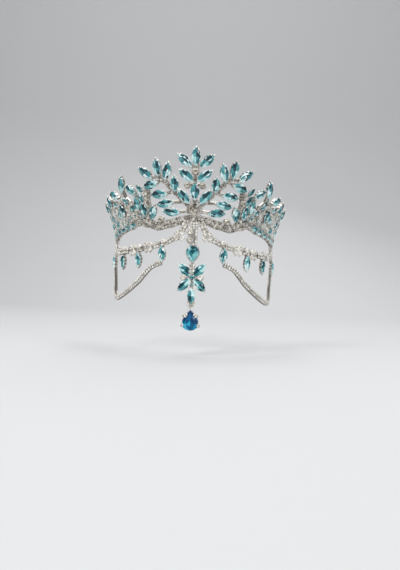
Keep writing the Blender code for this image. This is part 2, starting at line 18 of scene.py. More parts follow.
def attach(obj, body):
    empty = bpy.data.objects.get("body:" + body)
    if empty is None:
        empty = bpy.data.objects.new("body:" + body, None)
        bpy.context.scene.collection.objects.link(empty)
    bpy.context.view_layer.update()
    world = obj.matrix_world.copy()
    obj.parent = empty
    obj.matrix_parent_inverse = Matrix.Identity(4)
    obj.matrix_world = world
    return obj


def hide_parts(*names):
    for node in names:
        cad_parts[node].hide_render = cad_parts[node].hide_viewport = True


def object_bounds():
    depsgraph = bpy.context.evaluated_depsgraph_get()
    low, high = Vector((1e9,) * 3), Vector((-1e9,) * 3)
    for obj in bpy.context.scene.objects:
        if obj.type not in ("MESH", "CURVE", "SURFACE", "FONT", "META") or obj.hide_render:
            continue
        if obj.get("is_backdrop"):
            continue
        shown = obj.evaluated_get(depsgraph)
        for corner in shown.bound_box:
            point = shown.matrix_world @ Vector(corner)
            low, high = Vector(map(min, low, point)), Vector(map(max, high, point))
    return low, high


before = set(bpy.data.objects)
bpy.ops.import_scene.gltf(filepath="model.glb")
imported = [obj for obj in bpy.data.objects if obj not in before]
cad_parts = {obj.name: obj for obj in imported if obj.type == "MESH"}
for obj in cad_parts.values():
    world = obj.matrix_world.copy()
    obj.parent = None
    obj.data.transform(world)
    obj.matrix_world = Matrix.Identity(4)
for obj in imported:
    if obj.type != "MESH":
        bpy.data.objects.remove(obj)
cad_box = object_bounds()
MM = 0.001

# %% [markdown]
# ## The camera
#
# A photograph fixes its camera: how far it stood, how high and how much it leaned. This one
# stood 60 cm away, a little below the band, and leaned two degrees. A lens of 38 mm on a
# 36 mm sensor gives the same spread of view. The camera is turned about its own line of
# sight, which is what the second angle does once the first has stood it up.

# %% The camera
camera = bpy.data.objects.new("camera", bpy.data.cameras.new("camera"))
camera.data.lens = 38.1
camera.data.sensor_width = 36
camera.location = (7.3 * MM, -600 * MM, -47 * MM)
camera.rotation_euler = (math.radians(90), math.radians(-2.2), 0)
bpy.context.scene.collection.objects.link(camera)
bpy.context.scene.camera = camera
print("camera", round(camera.data.lens, 1), "mm lens at", [round(c, 3) for c in camera.location])

# %% [markdown]
# ## Building a finish
#
# A finish is a small net of nodes. Three helpers build such nets: one makes the material,
# one sets a node's values, and one makes a ramp of colours from its stops.


# %% Helpers for the finishes
def new_finish(name):
    """A new material with its nodes, its links and its main shader."""
    material = bpy.data.materials.new(name)
    material.use_nodes = True
    nodes = material.node_tree.nodes
    return material, nodes, material.node_tree.links, nodes["Principled BSDF"]


def with_values(node, values):
    """A node whose sockets are set by name or number."""
    for socket, value in values.items():
        node.inputs[socket].default_value = value
    return node


def colour_ramp(nodes, stops):
    """A ramp of colours through (place, colour) stops."""
    ramp = nodes.new("ShaderNodeValToRGB")
    elements = ramp.color_ramp.elements
    for element, (place, colour) in zip(elements, (stops[0], stops[-1])):
        element.position, element.color = place, (*colour, 1)
    for place, colour in stops[1:-1]:
        elements.new(place).color = (*colour, 1)
    return ramp

# %% [markdown]
# ## The studio
#
# Jewellery shows what is around it, so a studio for it is a pale room with a few large soft
# lights. A sweep is one sheet that runs forward as the floor and curves up behind, so no
# line crosses the picture. It is built as a profile pulled sideways, two points a row.


# %% The sweep
def pale_paper():
    """Matt card with a faint mottle, so that the floor isn't one flat number."""
    paper, nodes, links, shader = new_finish("pale_paper")
    with_values(shader, {"Roughness": 0.85})
    mottle = with_values(nodes.new("ShaderNodeTexNoise"), {"Scale": 3.0})
    ramp = colour_ramp(nodes, [(0.0, (0.52, 0.52, 0.53)), (1.0, (0.57, 0.57, 0.57))])
    links.new(mottle.outputs["Fac"], ramp.inputs["Fac"])
    links.new(ramp.outputs["Color"], shader.inputs["Base Color"])
    return paper


def sweep(floor_height, back, bend, width):
    """A floor that curves up into a backdrop."""
    profile = [(-12.0, floor_height), (-2.2, floor_height)]
    for step in range(13):
        turn = math.radians(90 * step / 12)
        profile.append((back - bend + bend * math.sin(turn), floor_height + bend - bend * math.cos(turn)))
    profile.append((back, 2.6))
    points = [(side * width / 2, y, z) for y, z in profile for side in (-1, 1)]
    faces = [(i, i + 1, i + 3, i + 2) for i in range(0, len(points) - 2, 2)]
    mesh = bpy.data.meshes.new("sweep")
    mesh.from_pydata(points, [], faces)
    mesh.shade_smooth()
    mesh.materials.append(pale_paper())
    sheet = bpy.data.objects.new("sweep", mesh)
    bpy.context.scene.collection.objects.link(sheet)
    return sheet


FLOOR_HEIGHT = cad_box[0][2] - 22 * MM
floor = sweep(FLOOR_HEIGHT, back=1.3, bend=0.6, width=24.0)
floor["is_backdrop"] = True
print("the sweep's floor is", round(FLOOR_HEIGHT / MM), "mm from the band's line")


# %% The lights
def soft_light(name, place, aim, size, watts, tint=(1, 1, 1)):
    """A square soft box that faces a point."""
    lamp = bpy.data.lights.new(name, "AREA")
    lamp.size, lamp.energy, lamp.color = size, watts, tint
    holder = bpy.data.objects.new(name, lamp)
    holder.location = place
    holder.rotation_euler = (Vector(aim) - Vector(place)).to_track_quat("-Z", "Y").to_euler()
    bpy.context.scene.collection.objects.link(holder)
    return holder


MIDDLE = (0, -0.04, -0.01)
lamps = [
    soft_light("key", (-0.50, -0.80, 0.75), MIDDLE, 0.42, 7),
    soft_light("fill", (0.80, -0.65, 0.25), MIDDLE, 0.30, 2.5, (0.93, 0.97, 1.0)),
    soft_light("top", (0.05, -0.15, 0.95), MIDDLE, 0.60, 2.6),
    soft_light("rim", (0.3, 0.8, 0.7), MIDDLE, 0.9, 3),
    soft_light("backdrop", (0, 0.25, 1.9), (0, 1.0, 0.1), 1.6, 16),
]
print(len(lamps), "soft lights")

# %% [markdown]
# ## The room that the facets see
#
# A crystal in an evenly white room goes flat, because every facet shows the same white.
# The room here is bright above and dark round the sides, as where a dark cloth hangs behind
# the photographer. The colour comes from the direction's height alone.

# %% The room
EYE_SHADE, CEILING_SHADE = (0.27, 0.275, 0.285), (0.90, 0.92, 0.95)
world = bpy.data.worlds.new("pale_room")
world.use_nodes = True
room_nodes, room_links = world.node_tree.nodes, world.node_tree.links
direction = room_nodes.new("ShaderNodeTexCoord")
split = room_nodes.new("ShaderNodeSeparateXYZ")
rise = with_values(room_nodes.new("ShaderNodeMapRange"), {"From Min": -1.0})
shades = colour_ramp(room_nodes, [(0.50, EYE_SHADE), (0.85, CEILING_SHADE)])
background = with_values(room_nodes["Background"], {"Strength": 0.55})
room_links.new(direction.outputs["Generated"], split.inputs["Vector"])
room_links.new(split.outputs["Z"], rise.inputs["Value"])
room_links.new(rise.outputs["Result"], shades.inputs["Fac"])
room_links.new(shades.outputs["Color"], background.inputs["Color"])
bpy.context.scene.world = world
bpy.context.scene.view_settings.view_transform = "Standard"
print("the room goes from", EYE_SHADE, "at eye height to", CEILING_SHADE, "above")

# %% [markdown]
# ## The finishes
#
# A foiled crystal is glass with a mirror behind it, so each facet sends back the light round it
# in one colour: some nearly black, some nearly white. Real refraction is slow and noisy at this
# size. Here that light is painted instead: each facet carries a number, its painted light, and a
# colour ramp turns it into a painted shade, from painted shadow to painted highlight. A clear
# coat on top gives the sharp white glints of glass.
#
# The metal is plated silver. Its recesses are painted darker than its rims, a painted shade,
# so it has a second number, its shade. Where a mesh has no such number the node gives nought,
# which is the bright metal. The crown's frame has a darker plate, painted shade, so that the
# walls of its cups don't outshine the stones. The bars of the swags lie between cups all the
# way, so their plate is painted dark throughout as painted shade, and the bright cups stand out on it.


# %% The crystal finish
GLASS = {"Roughness": 0.22, "Specular IOR Level": 0.25, "Coat Roughness": 0.05}
CLOUD_SWING = 0.24


def crystal(name, stops, coat=0.65):
    """Foiled glass: the facet's painted light picks a painted shade or highlight from the stops, under a
    clear coat.
    """
    glass, nodes, links, shader = new_finish(name)
    with_values(shader, {**GLASS, "Coat Weight": coat})
    # The facet's painted light: reflected light and shade painted on each facet.
    painted_facet_light = nodes.new("ShaderNodeAttribute")
    painted_facet_light.attribute_name = "painted_facet_light"
    cloud = with_values(nodes.new("ShaderNodeTexNoise"), {"Scale": 520.0, "Detail": 3.0})
    swing = with_values(nodes.new("ShaderNodeMath"), {1: CLOUD_SWING, 2: -CLOUD_SWING / 2})
    swing.operation = "MULTIPLY_ADD"
    mixed = nodes.new("ShaderNodeMath")
    mixed.operation = "ADD"
    ramp = colour_ramp(nodes, stops)
    links.new(cloud.outputs["Fac"], swing.inputs[0])
    links.new(swing.outputs[0], mixed.inputs[0])
    links.new(painted_facet_light.outputs["Fac"], mixed.inputs[1])
    links.new(mixed.outputs[0], ramp.inputs["Fac"])
    links.new(ramp.outputs["Color"], shader.inputs["Base Color"])
    return glass


aqua_crystal = crystal("aqua_crystal", [
    (0.00, (0.002, 0.022, 0.030)), (0.28, (0.010, 0.092, 0.112)), (0.50, (0.045, 0.250, 0.275)),
    (0.70, (0.160, 0.480, 0.500)), (0.86, (0.410, 0.740, 0.745)), (1.00, (0.900, 0.970, 0.965))])
clear_crystal = crystal("clear_crystal", [
    (0.00, (0.030, 0.026, 0.021)), (0.30, (0.145, 0.126, 0.100)), (0.55, (0.420, 0.380, 0.312)),
    (0.76, (0.740, 0.698, 0.618)), (1.00, (1.000, 0.980, 0.935))])
blue_crystal = crystal("blue_crystal", [
    (0.00, (0.000, 0.010, 0.040)), (0.35, (0.000, 0.045, 0.140)), (0.60, (0.000, 0.150, 0.320)),
    (0.85, (0.004, 0.390, 0.610)), (1.00, (0.220, 0.740, 0.910))], coat=0.25)
print("crystals:", aqua_crystal.name, clear_crystal.name, blue_crystal.name)


# %% The silver finish
def plated_silver(name, bright, dark):
    """Bright plate with fine scratches, with painted shade in its recesses."""
    plating, nodes, links, shader = new_finish(name)
    with_values(shader, {"Metallic": 1.0})
    # The shade number paints shade into recesses: nought is bright metal, one is the painted dark end.
    shade = nodes.new("ShaderNodeAttribute")
    shade.attribute_name = "shade"
    colour = colour_ramp(nodes, [(0.0, bright), (1.0, dark)])
    links.new(shade.outputs["Fac"], colour.inputs["Fac"])
    links.new(colour.outputs["Color"], shader.inputs["Base Color"])
    wear = with_values(nodes.new("ShaderNodeTexNoise"), {"Scale": 900.0, "Detail": 6.0})
    gloss = with_values(nodes.new("ShaderNodeMapRange"), {"To Min": 0.22, "To Max": 0.46})
    links.new(wear.outputs["Fac"], gloss.inputs["Value"])
    links.new(gloss.outputs["Result"], shader.inputs["Roughness"])
    dents = with_values(nodes.new("ShaderNodeBump"), {"Strength": 0.3, "Distance": 0.05 * MM})
    links.new(wear.outputs["Fac"], dents.inputs["Height"])
    links.new(dents.outputs["Normal"], shader.inputs["Normal"])
    return plating


# The dark end of every plate is painted shade; the frame's and the swags' darker plates are painted shade
# too.
PAINTED_RECESS_SHADE = (0.07, 0.06, 0.05)
silver = plated_silver("plated_silver", (0.76, 0.73, 0.68), PAINTED_RECESS_SHADE)
painted_shade_frame_silver = plated_silver("painted_shade_frame_silver", (0.58, 0.555, 0.51), PAINTED_RECESS_SHADE)
shadowed_silver = plated_silver("shadowed_silver", (0.42, 0.40, 0.37), PAINTED_RECESS_SHADE)
OWN_PLATES = {"crown_frame": painted_shade_frame_silver, "swag_left": shadowed_silver, "swag_right": shadowed_silver}
METAL_NODES = ["crown_frame", "pendant_frame", "drop_setting", "forehead_chain_left", "forehead_chain_right",
               "swag_left", "swag_right"]
for name in METAL_NODES:
    for material_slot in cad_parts[name].material_slots:
        material_slot.material = OWN_PLATES.get(name, silver)
print("silver on", len(METAL_NODES), "solids")

# %% [markdown]
# ## Trays of small pieces
#
# A jeweller sorts stones into trays. The same idea suits a script: a tray gathers the points
# and faces of many small pieces, and is poured out once as one mesh. That is far quicker
# than an object per stone. Each face keeps its painted light or painted shade in the tray as well.


# %% A tray, and pouring it
def new_tray():
    """An empty tray of points and faces, with one number a face."""
    return {"points": [], "faces": [], "numbers": [], "smooth": []}


def add(tray, place, points, faces, numbers, smooth=False):
    """Put a small piece in the tray, moved to its place."""
    first = len(tray["points"])
    tray["points"].extend(place @ Vector(point) for point in points)
    tray["faces"].extend(tuple(first + corner for corner in face) for face in faces)
    tray["numbers"].extend(numbers)
    tray["smooth"].extend([smooth] * len(faces))


FINISHES = {
    "silver": (silver, "shade", "silver"),
    "aqua": (aqua_crystal, "painted_facet_light", "aqua_crystal"),
    "clear": (clear_crystal, "painted_facet_light", "clear_crystal"),
    "blue": (blue_crystal, "painted_facet_light", "blue_crystal"),
}


def pour(tray, name, finish, body="crown"):
    """Make one mesh of the tray, which rides on a body."""
    material, number_name, record_slot = FINISHES[finish]
    mesh = bpy.data.meshes.new(name)
    mesh.from_pydata(tray["points"], [], tray["faces"])
    mesh.polygons.foreach_set("use_smooth", tray["smooth"])
    layer = mesh.attributes.new(number_name, "FLOAT", "FACE")
    layer.data.foreach_set("value", tray["numbers"])
    mesh.materials.append(material)
    piece = bpy.data.objects.new(name, mesh)
    bpy.context.scene.collection.objects.link(piece)
    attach(piece, body)
    return piece

# %% [markdown]
# ## A brilliant cut for any outline
#
# A cut stone has a flat table, a crown of kites and triangles round it, and a thin girdle.
# The same net of facets fits a round, an oval, a pear or a pointed marquise: only the
# outline changes. An outline here is a function that gives the edge at a share of a turn.
#
# Through the table a real stone shows the facets of its back, and those turn the light the
# other way. So the table is split into wedges whose painted light runs opposite to the crown's:
# the wedges low in the stone are painted light and the high ones painted dark.


# %% Outlines
def round_edge(turn, length, width):
    """An oval's edge."""
    angle = 2 * math.pi * turn
    return length / 2 * math.cos(angle), width / 2 * math.sin(angle)


def marquise_edge(turn, length, width):
    """Two arcs that meet in points at both ends."""
    radius = (length ** 2 + width ** 2) / (4 * width)
    x = length / 2 * math.cos(2 * math.pi * turn)
    rise = math.sqrt(max(radius ** 2 - x ** 2, 0)) - radius + width / 2
    return x, rise if turn <= 0.5 else -rise


def pear_edge(turn, length, width):
    """A round end at -X that narrows to a point at +X."""
    angle = 2 * math.pi * turn
    narrow = abs(math.sin(angle / 2)) ** 1.1
    return length / 2 * math.cos(angle), width / 2 * math.sin(angle) * narrow * 1.29


def square_edge(turn, length, width):
    """A square with soft corners."""
    angle = 2 * math.pi * turn
    reach = 1 / (abs(math.cos(angle)) ** 4 + abs(math.sin(angle)) ** 4) ** 0.25
    return length / 2 * math.cos(angle) * reach, width / 2 * math.sin(angle) * reach


# %% The brilliant cut
def brilliant(edge, length, width, crown, back, corners=8):
    """Points, faces and facet kinds of a cut stone whose girdle lies at height nought."""
    def ring(count, shift, share, height):
        outline = [edge(((index + shift) / count) % 1.0, length, width) for index in range(count)]
        return [(share * x, share * y, height) for x, y in outline]

    points = ring(corners, 0, 0.56, crown) + ring(corners, 0.5, 0.80, crown * 0.62)
    points += ring(2 * corners, 0, 1.0, 0.02 * width) + ring(2 * corners, 0, 1.0, -0.02 * width)
    points += [(0, 0, crown), (0, 0, -back)]
    star, girdle, under = corners, 2 * corners, 4 * corners
    middle, culet = 6 * corners, 6 * corners + 1
    faces, kinds = [], []
    for k in range(corners):
        follow = (k + 1) % corners
        low, mid, high = girdle + 2 * k, girdle + 2 * k + 1, girdle + (2 * k + 2) % (2 * corners)
        faces += [(middle, k, follow), (k, star + k, follow), (k, star + (k - 1) % corners, low, star + k),
                  (star + k, low, mid), (star + k, mid, high)]
        kinds += ["table", "star", "kite", "edge", "edge"]
    for i in range(2 * corners):
        follow = (i + 1) % (2 * corners)
        faces += [(girdle + i, under + i, under + follow, girdle + follow),
                  (under + i, culet, under + follow)]
        kinds += ["girdle", "back"]
    return points, faces, kinds


# %% Painted light for each facet
chance = random.Random(41)


def facet_middles(points, faces):
    """The middle of each facet, and the reach of the stone."""
    middles = [sum((Vector(points[corner]) for corner in face), Vector()) / len(face) for face in faces]
    return middles, max(math.hypot(x, y) for x, y, _ in points)


def round_painted_light(place, points, faces, kinds, base, spread=0.22, drives=(-0.55, 0.15)):
    """Painted light and shade on a round stone's facets: the drives say how the painted light on the table
    and on the rest changes with height.
    """
    up = place.to_3x3().inverted() @ Vector((0, 0, 1))
    middles, reach = facet_middles(points, faces)
    painted_facet_lights = []
    for middle, kind in zip(middles, kinds):
        # Painted light that changes with height in the stone, as if lit from above, with a random spread.
        height = (middle.x * up.x + middle.y * up.y) / reach
        drive = drives[0] if kind == "table" else drives[1]
        painted_facet_lights.append(min(max(base + drive * height + chance.uniform(-spread, spread), 0.02), 0.98))
    return painted_facet_lights


def leaf_painted_light(place, points, faces, kinds, base):
    """Painted light in four patches: painted shade on the upper side of the tip, painted light on the lower
    side of the foot, with painted glints on the upper edges and a few painted sparks.
    """
    up = place.to_3x3().inverted() @ Vector((0, 0, 1))
    upper = math.copysign(1, up.y) if abs(up.y) > 0.25 else chance.choice((-1, 1))
    middles, reach = facet_middles(points, faces)
    waist = chance.uniform(-0.12, 0.12) * reach
    painted_facet_lights = []
    for middle, kind in zip(middles, kinds):
        tip = 1 if middle.x > waist else -1
        high = 1 if middle.y * upper > 0 else -1
        painted_facet_light = base - 0.17 * tip - 0.21 * high + chance.uniform(-0.13, 0.13)
        # Painted glints on the edge facets of the upper side, and painted sparks here and there.
        if kind == "edge":
            painted_facet_light = 0.93 if high > 0 and chance.random() < 0.55 else painted_facet_light + 0.12
        elif chance.random() < 0.10:
            painted_facet_light = chance.choice((0.03, 0.97))
        painted_facet_lights.append(min(max(painted_facet_light, 0.02), 0.98))
    return painted_facet_lights


def above(place, height):
    """A frame moved out along its own Z."""
    return place @ Matrix.Translation((0, 0, height))


def lay_gem(tray, place, gem, painted_facet_lights, base, *more):
    """A cut stone with painted light on each facet."""
    points, faces, kinds = gem
    add(tray, place, points, faces, painted_facet_lights(place, points, faces, kinds, base, *more))

# %% [markdown]
# ## The leaf stones
#
# Each CAD stone is a plain prism of three rings. Its mesh tells where it sits: the largest
# flat face is the table and gives the way out of the wall, and the two points furthest apart
# are its tips. A fresh stone is cut to that seat, so none has to be placed by hand. It is a
# little larger than the solid, because a claw-set stone covers the rim of its cup.


# %% Reading a stone's seat from its solid
SPRAY_FOOT = Vector((0, -78, 12)) * MM


def stone_seat(node):
    """The girdle's frame of a CAD stone, with its length, width and height."""
    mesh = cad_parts[node].data
    flats = {}
    for face in mesh.polygons:
        key = tuple(round(c, 1) for c in face.normal)
        flats[key] = flats.get(key, Vector()) + face.normal * face.area
    out = max(flats.values(), key=lambda area: area.length).normalized()
    points = [vertex.co.copy() for vertex in mesh.vertices]
    tips = max(((a, b) for a in points for b in points), key=lambda pair: (pair[0] - pair[1]).length)
    centroid = sum(points, Vector()) / len(points)
    tip, foot = sorted(tips, key=lambda point: -(point - centroid).length)
    centre = (tip + foot) / 2
    along = (tip - foot).normalized()
    if abs((centroid - centre).dot(along)) < 0.2 * MM and (tip - foot).dot(centre - SPRAY_FOOT) < 0:
        along = -along
    across = out.cross(along)
    seat = Matrix((along, across, out)).transposed().to_4x4()
    seat.translation = centre
    half_width = max(abs((point - centre).dot(across)) for point in points)
    height = max((point - centre).dot(out) for point in points)
    return seat, (tip - foot).length, 2 * half_width, height


stone_seats = {name: stone_seat(name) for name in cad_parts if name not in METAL_NODES}
top_size = [round(value / MM, 1) for value in stone_seats["top_marquise"][1:]]
print(len(stone_seats), "seats; the top stone is", top_size, "mm")

# %% Cutting a stone for each seat
# The spread and the height drives of the painted light on the drop, the pear and the oval.
DROP_PAINTED_LIGHT = (0.28, (-0.42, -0.36))
CUTS = {
    "blue_drop": (pear_edge, "blue", 0.48, (1.8 * MM, 1.8 * MM)),
    "aqua_pear": (pear_edge, "aqua", 0.58, (1.6 * MM, 1.4 * MM)),
    "centre_oval": (round_edge, "clear", 0.46, (1.4 * MM, 1.4 * MM)),
}
LEAF_CUT = (marquise_edge, "aqua", 0.49, (3.0 * MM, 2.5 * MM))


def cut_for_seat(node, edge, finish, base, margin):
    """A finely cut stone in place of a CAD stone."""
    seat, length, width, height = stone_seats[node]
    gem = brilliant(edge, length + margin[0], width + margin[1], height, height * 0.75)
    tray = new_tray()
    if edge is marquise_edge:
        lay_gem(tray, seat, gem, leaf_painted_light, base)
    else:
        lay_gem(tray, seat, gem, round_painted_light, base, *DROP_PAINTED_LIGHT)
    stone = pour(tray, "cut_" + node, finish, "drop" if node == "blue_drop" else "crown")
    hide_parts(node)


for name in sorted(stone_seats):
    cut_for_seat(name, *CUTS.get(name, LEAF_CUT))
print("cut", len(stone_seats), "main stones")

# %% [markdown]
# ## Claws
#
# A claw is a short wire that stands beside the stone and is bent over its edge. Each is
# drawn as four small rings that climb, lean in and shrink, with a cap at both ends. Every
# leaf stone has one at each tip and two pairs at its sides, and they catch the light as the
# little white sparks on the outer ends of the leaves.


# %% Bending the claws
def loft(rings):
    """A closed solid through rings of points, from the lowest ring to the last."""
    sides, points = len(rings[0]), [point for ring in rings for point in ring]
    faces = [(low + i, low + (i + 1) % sides, low + sides + (i + 1) % sides, low + sides + i)
             for low in range(0, len(points) - sides, sides) for i in range(sides)]
    return points, faces + [tuple(range(sides))[::-1], tuple(range(len(points) - sides, len(points)))]


def claw_edge(tray, seat, edge, outline, turns, size=1.0):
    """Claws at shares of a turn round a stone's edge, bent towards its middle."""
    around = [2 * math.pi * index / 6 for index in range(6)]
    for share in turns:
        spot = Vector(edge(share, *outline))
        outward = spot.normalized() * size * MM
        path = [(spot + outward * 0.30, -1.7, 0.50), (spot + outward * 0.25, 0.1, 0.50),
                (spot - outward * 0.10, 0.62, 0.50), (spot - outward * 0.62, 0.95, 0.26)]
        rings = []
        for centre, height, width in path:
            radius = width * size * MM
            rings.append([(centre.x + radius * math.cos(turn), centre.y + radius * math.sin(turn),
                           height * size * MM) for turn in around])
        points, faces = loft(rings)
        add(tray, seat, points, faces, [0.0] * len(faces), smooth=True)


CLAW_TURNS = {marquise_edge: (0.0, 0.11, 0.39, 0.5, 0.61, 0.89), pear_edge: (0.0, 0.22, 0.40, 0.60, 0.78),
              round_edge: (0.125, 0.375, 0.625, 0.875)}
DROP_PRONG_TURNS = (0.155, 0.190, 0.320, 0.350, 0.650, 0.680, 0.810, 0.845)
CLAW_MARGINS = {"aqua_pear": (1.5 * MM, 1.4 * MM), "centre_oval": (1.5 * MM, 1.4 * MM)}
claws, prongs = new_tray(), new_tray()
for name, (seat, length, width, _) in stone_seats.items():
    edge, _, _, margin = CUTS.get(name, LEAF_CUT)
    margin = CLAW_MARGINS.get(name, margin)
    outline = (length + margin[0], width + margin[1])
    if name == "blue_drop":
        claw_edge(prongs, seat, edge, outline, DROP_PRONG_TURNS, 1.7)
    else:
        claw_edge(claws, seat, edge, outline, CLAW_TURNS[edge])
pour(claws, "leaf_claws", "silver")
pour(prongs, "drop_claws", "silver", "drop")
print(len(claws["faces"]), "faces of claws")

# %% [markdown]
# ## The wall that everything stands on
#
# The crown was drawn flat, as lengths along the band and heights above it, and then wrapped
# into a round. The same wrapping is repeated here, so that a row of stones can be laid out on
# the flat pattern. Above the band's line the wall leans out by twenty degrees, and below it
# the pendant and the chains hang upright.

# %% The wrapping
HALF_LENGTH, CROWN_HEIGHT, PENDANT_LENGTH = 118 * MM, 65 * MM, 93 * MM
BAND_WIDTH, SCALLOP_DEPTH = 7.2 * MM, 9 * MM
HALF_WIDTH, FRONT_DEPTH, MEAN_RADIUS, FRONT_RISE = 74, 78, 76 * MM, 7.5
WALL_LEAN, HUNG_GAP = math.radians(20), 0.8 * MM
LOWER_EDGE = [
    (0.00, 0.00), (0.09, -0.28), (0.18, -0.60), (0.27, -0.80), (0.36, -0.46), (0.43, -0.16),
    (0.55, -0.50), (0.68, -0.66), (0.82, -0.90), (0.92, -1.00), (1.00, -0.70),
]


def band_line(along):
    """The foot of the wall at a length along the band, and the way outwards there."""
    angle = along / MEAN_RADIUS
    sine, cosine = math.sin(angle), math.cos(angle)
    outward = Vector((FRONT_DEPTH * sine, -HALF_WIDTH * cosine, 0)).normalized()
    return Vector((HALF_WIDTH * sine, -FRONT_DEPTH * cosine, FRONT_RISE * cosine)) * MM, outward


def wall_point(along, up):
    """A point on the leaning wall."""
    foot, outward = band_line(along)
    lean = WALL_LEAN if up > 0 else 0.0
    return foot + (outward * math.sin(lean) + Vector((0, 0, math.cos(lean)))) * up


def hung_point(along, up):
    """A point of the upright surface that the pendant and the chains hang in."""
    foot, outward = band_line(along)
    return foot + outward * HUNG_GAP + Vector((0, 0, up))


def lower_edge(along):
    """The height of the band's scalloped lower edge."""
    share = abs(along) / HALF_LENGTH
    for (low, low_value), (high, high_value) in zip(LOWER_EDGE, LOWER_EDGE[1:]):
        if share <= high:
            t = (share - low) / (high - low)
            return (low_value + (high_value - low_value) * t * t * (3 - 2 * t)) * SCALLOP_DEPTH
    return LOWER_EDGE[-1][1] * SCALLOP_DEPTH


def pattern_frame(surface, along, up, degrees=0.0):
    """The frame of a piece that lies on a surface: X along the piece, Z out of the wall."""
    step = 0.8 * MM
    x_axis = (surface(along + step, up) - surface(along - step, up)).normalized()
    y_axis = (surface(along, up + step) - surface(along, up - step)).normalized()
    out = x_axis.cross(y_axis).normalized()
    seat = Matrix((x_axis, out.cross(x_axis), out)).transposed().to_4x4()
    seat.translation = surface(along, up)
    return seat @ Matrix.Rotation(math.radians(degrees), 4, "Z")


print("the band's lower edge falls", round(-min(lower_edge(s * MM) for s in range(118)) / MM, 1), "mm")

# %% [markdown]
# ## Finding the metal under a stone
#
# A small stone has to touch the metal below it. A ray is sent in from outside, against the
# way out of the wall, and where it meets the solid is the seat. If it meets it too high, a
# big stone's cup is in the way, and if too low, there is no metal there. Both leave the
# place empty, so the rows end by themselves at the edges.

# %% Seats by ray
RAY_START, RAY_LENGTH = 9 * MM, 16 * MM
PROBE_SHARE, LEAST_HEIGHT = 0.55, 0.5 * MM
LEAF_ROOM = (1.3 * MM, 0.9 * MM)
metal_trees = {}
for name in METAL_NODES:
    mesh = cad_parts[name].data
    corners = [vertex.co for vertex in mesh.vertices]
    metal_trees[name] = BVHTree.FromPolygons(corners, [tuple(face.vertices) for face in mesh.polygons])


def metal_height(node, place, x=0.0, y=0.0):
    """How far the metal stands out of a frame's plane at a point of it, or None."""
    start = place @ Vector((x, y, RAY_START))
    inward = -(place.to_3x3() @ Vector((0, 0, 1)))
    hit = metal_trees[node].ray_cast(start, inward, RAY_LENGTH)
    return None if hit[0] is None else RAY_START - hit[3]


big_stones = [(seat.inverted(), length / 2 + LEAF_ROOM[0], width / 2 + LEAF_ROOM[1])
              for seat, length, width, _ in stone_seats.values()]


def under_a_leaf(point, margin):
    """Whether a large stone covers a point."""
    for inverse, reach, half_width in big_stones:
        local = inverse @ point
        if abs(local.z) < 6 * MM and abs(local.x) < reach + margin:
            if abs(local.y) < half_width * max(1 - (local.x / reach) ** 2, 0) + margin:
                return True
    return False


def claim(place, length, width):
    """Keep the small stones out from under a large stone."""
    big_stones.append((place.inverted(), length / 2, width / 2))


def find_seat(node, surface, along, up, radius, high=3.2 * MM):
    """The frame of a small stone on the metal, or None where there is no flat room for it."""
    place = pattern_frame(surface, along, up)
    reach = radius * PROBE_SHARE
    probes = ((0, 0), (1, 0), (-1, 0), (0, 1), (0, -1))
    heights = [metal_height(node, place, x * reach, y * reach) for x, y in probes]
    if any(height is None or not LEAST_HEIGHT <= height <= high for height in heights):
        return None
    centre, right, left, top, bottom = heights
    ridges = (abs(right + left - 2 * centre), abs(top + bottom - 2 * centre))
    if max(heights) - min(heights) > 0.9 * radius or ridges[0] > 0.25 * radius or ridges[1] > 0.45 * radius:
        return None
    if under_a_leaf(place @ Vector((0, 0, centre)), reach):
        return None
    lean = Vector((left - right, bottom - top, 2 * reach)).normalized()
    tilt = Vector((0, 0, 1)).rotation_difference(lean).to_matrix().to_4x4()
    return above(place, centre) @ tilt


print("rays can find", len(metal_trees), "solids")

# %% [markdown]
# ## A small stone in its cup
#
# Rhinestone rows are made of little pressed cups, each with a stone and four beads of metal
# pushed over its edge. One such setting is modelled once and repeated: a closed cup with
# painted shade inside and a wide foot painted dark as the shade between the stones, a stone
# of six sides, and four beads.

# %% The small setting
# The third number of each level is its painted shade: dark inside the cup and on the wide foot, bright on the
# rim.
CUP_PROFILE = [(1.20, -0.60, 0.9), (1.20, 0.05, 0.85), (1.00, 0.10, 0.6), (1.05, 0.78, 0.0),
               (0.95, 0.86, 0.6), (0.86, 0.45, 0.9)]
# The bead is painted a little darker at its foot, as shade.
BEAD_PROFILE = [(0.14, -0.26, 0.2), (0.30, -0.05, 0.0), (0.26, 0.16, 0.0), (0.10, 0.28, 0.0)]


def lathe(profile, sides):
    """A closed turned solid from (radius, height, shade) levels."""
    turns = [2 * math.pi * i / sides for i in range(sides)]
    points, faces = loft([[(radius * math.cos(turn), radius * math.sin(turn), height) for turn in turns]
                          for radius, height, _ in profile])
    return points, faces, [shade for _, _, shade in profile[:-1] for _ in turns] + [0.5, profile[-1][2]]


def scaled(points, radius):
    """Points drawn for a radius of one, at their real size."""
    return [(x * radius, y * radius, z * radius) for x, y, z in points]


small_cup = lathe(CUP_PROFILE, 10)
bead = lathe(BEAD_PROFILE, 5)
small_gem = brilliant(round_edge, 1.88, 1.88, 0.46, 0.40, corners=6)


def put_metal(trays, place, shape, radius):
    """A turned metal part at its real size."""
    points, faces, shades = shape
    add(trays["silver"], place, scaled(points, radius), faces, shades, smooth=True)


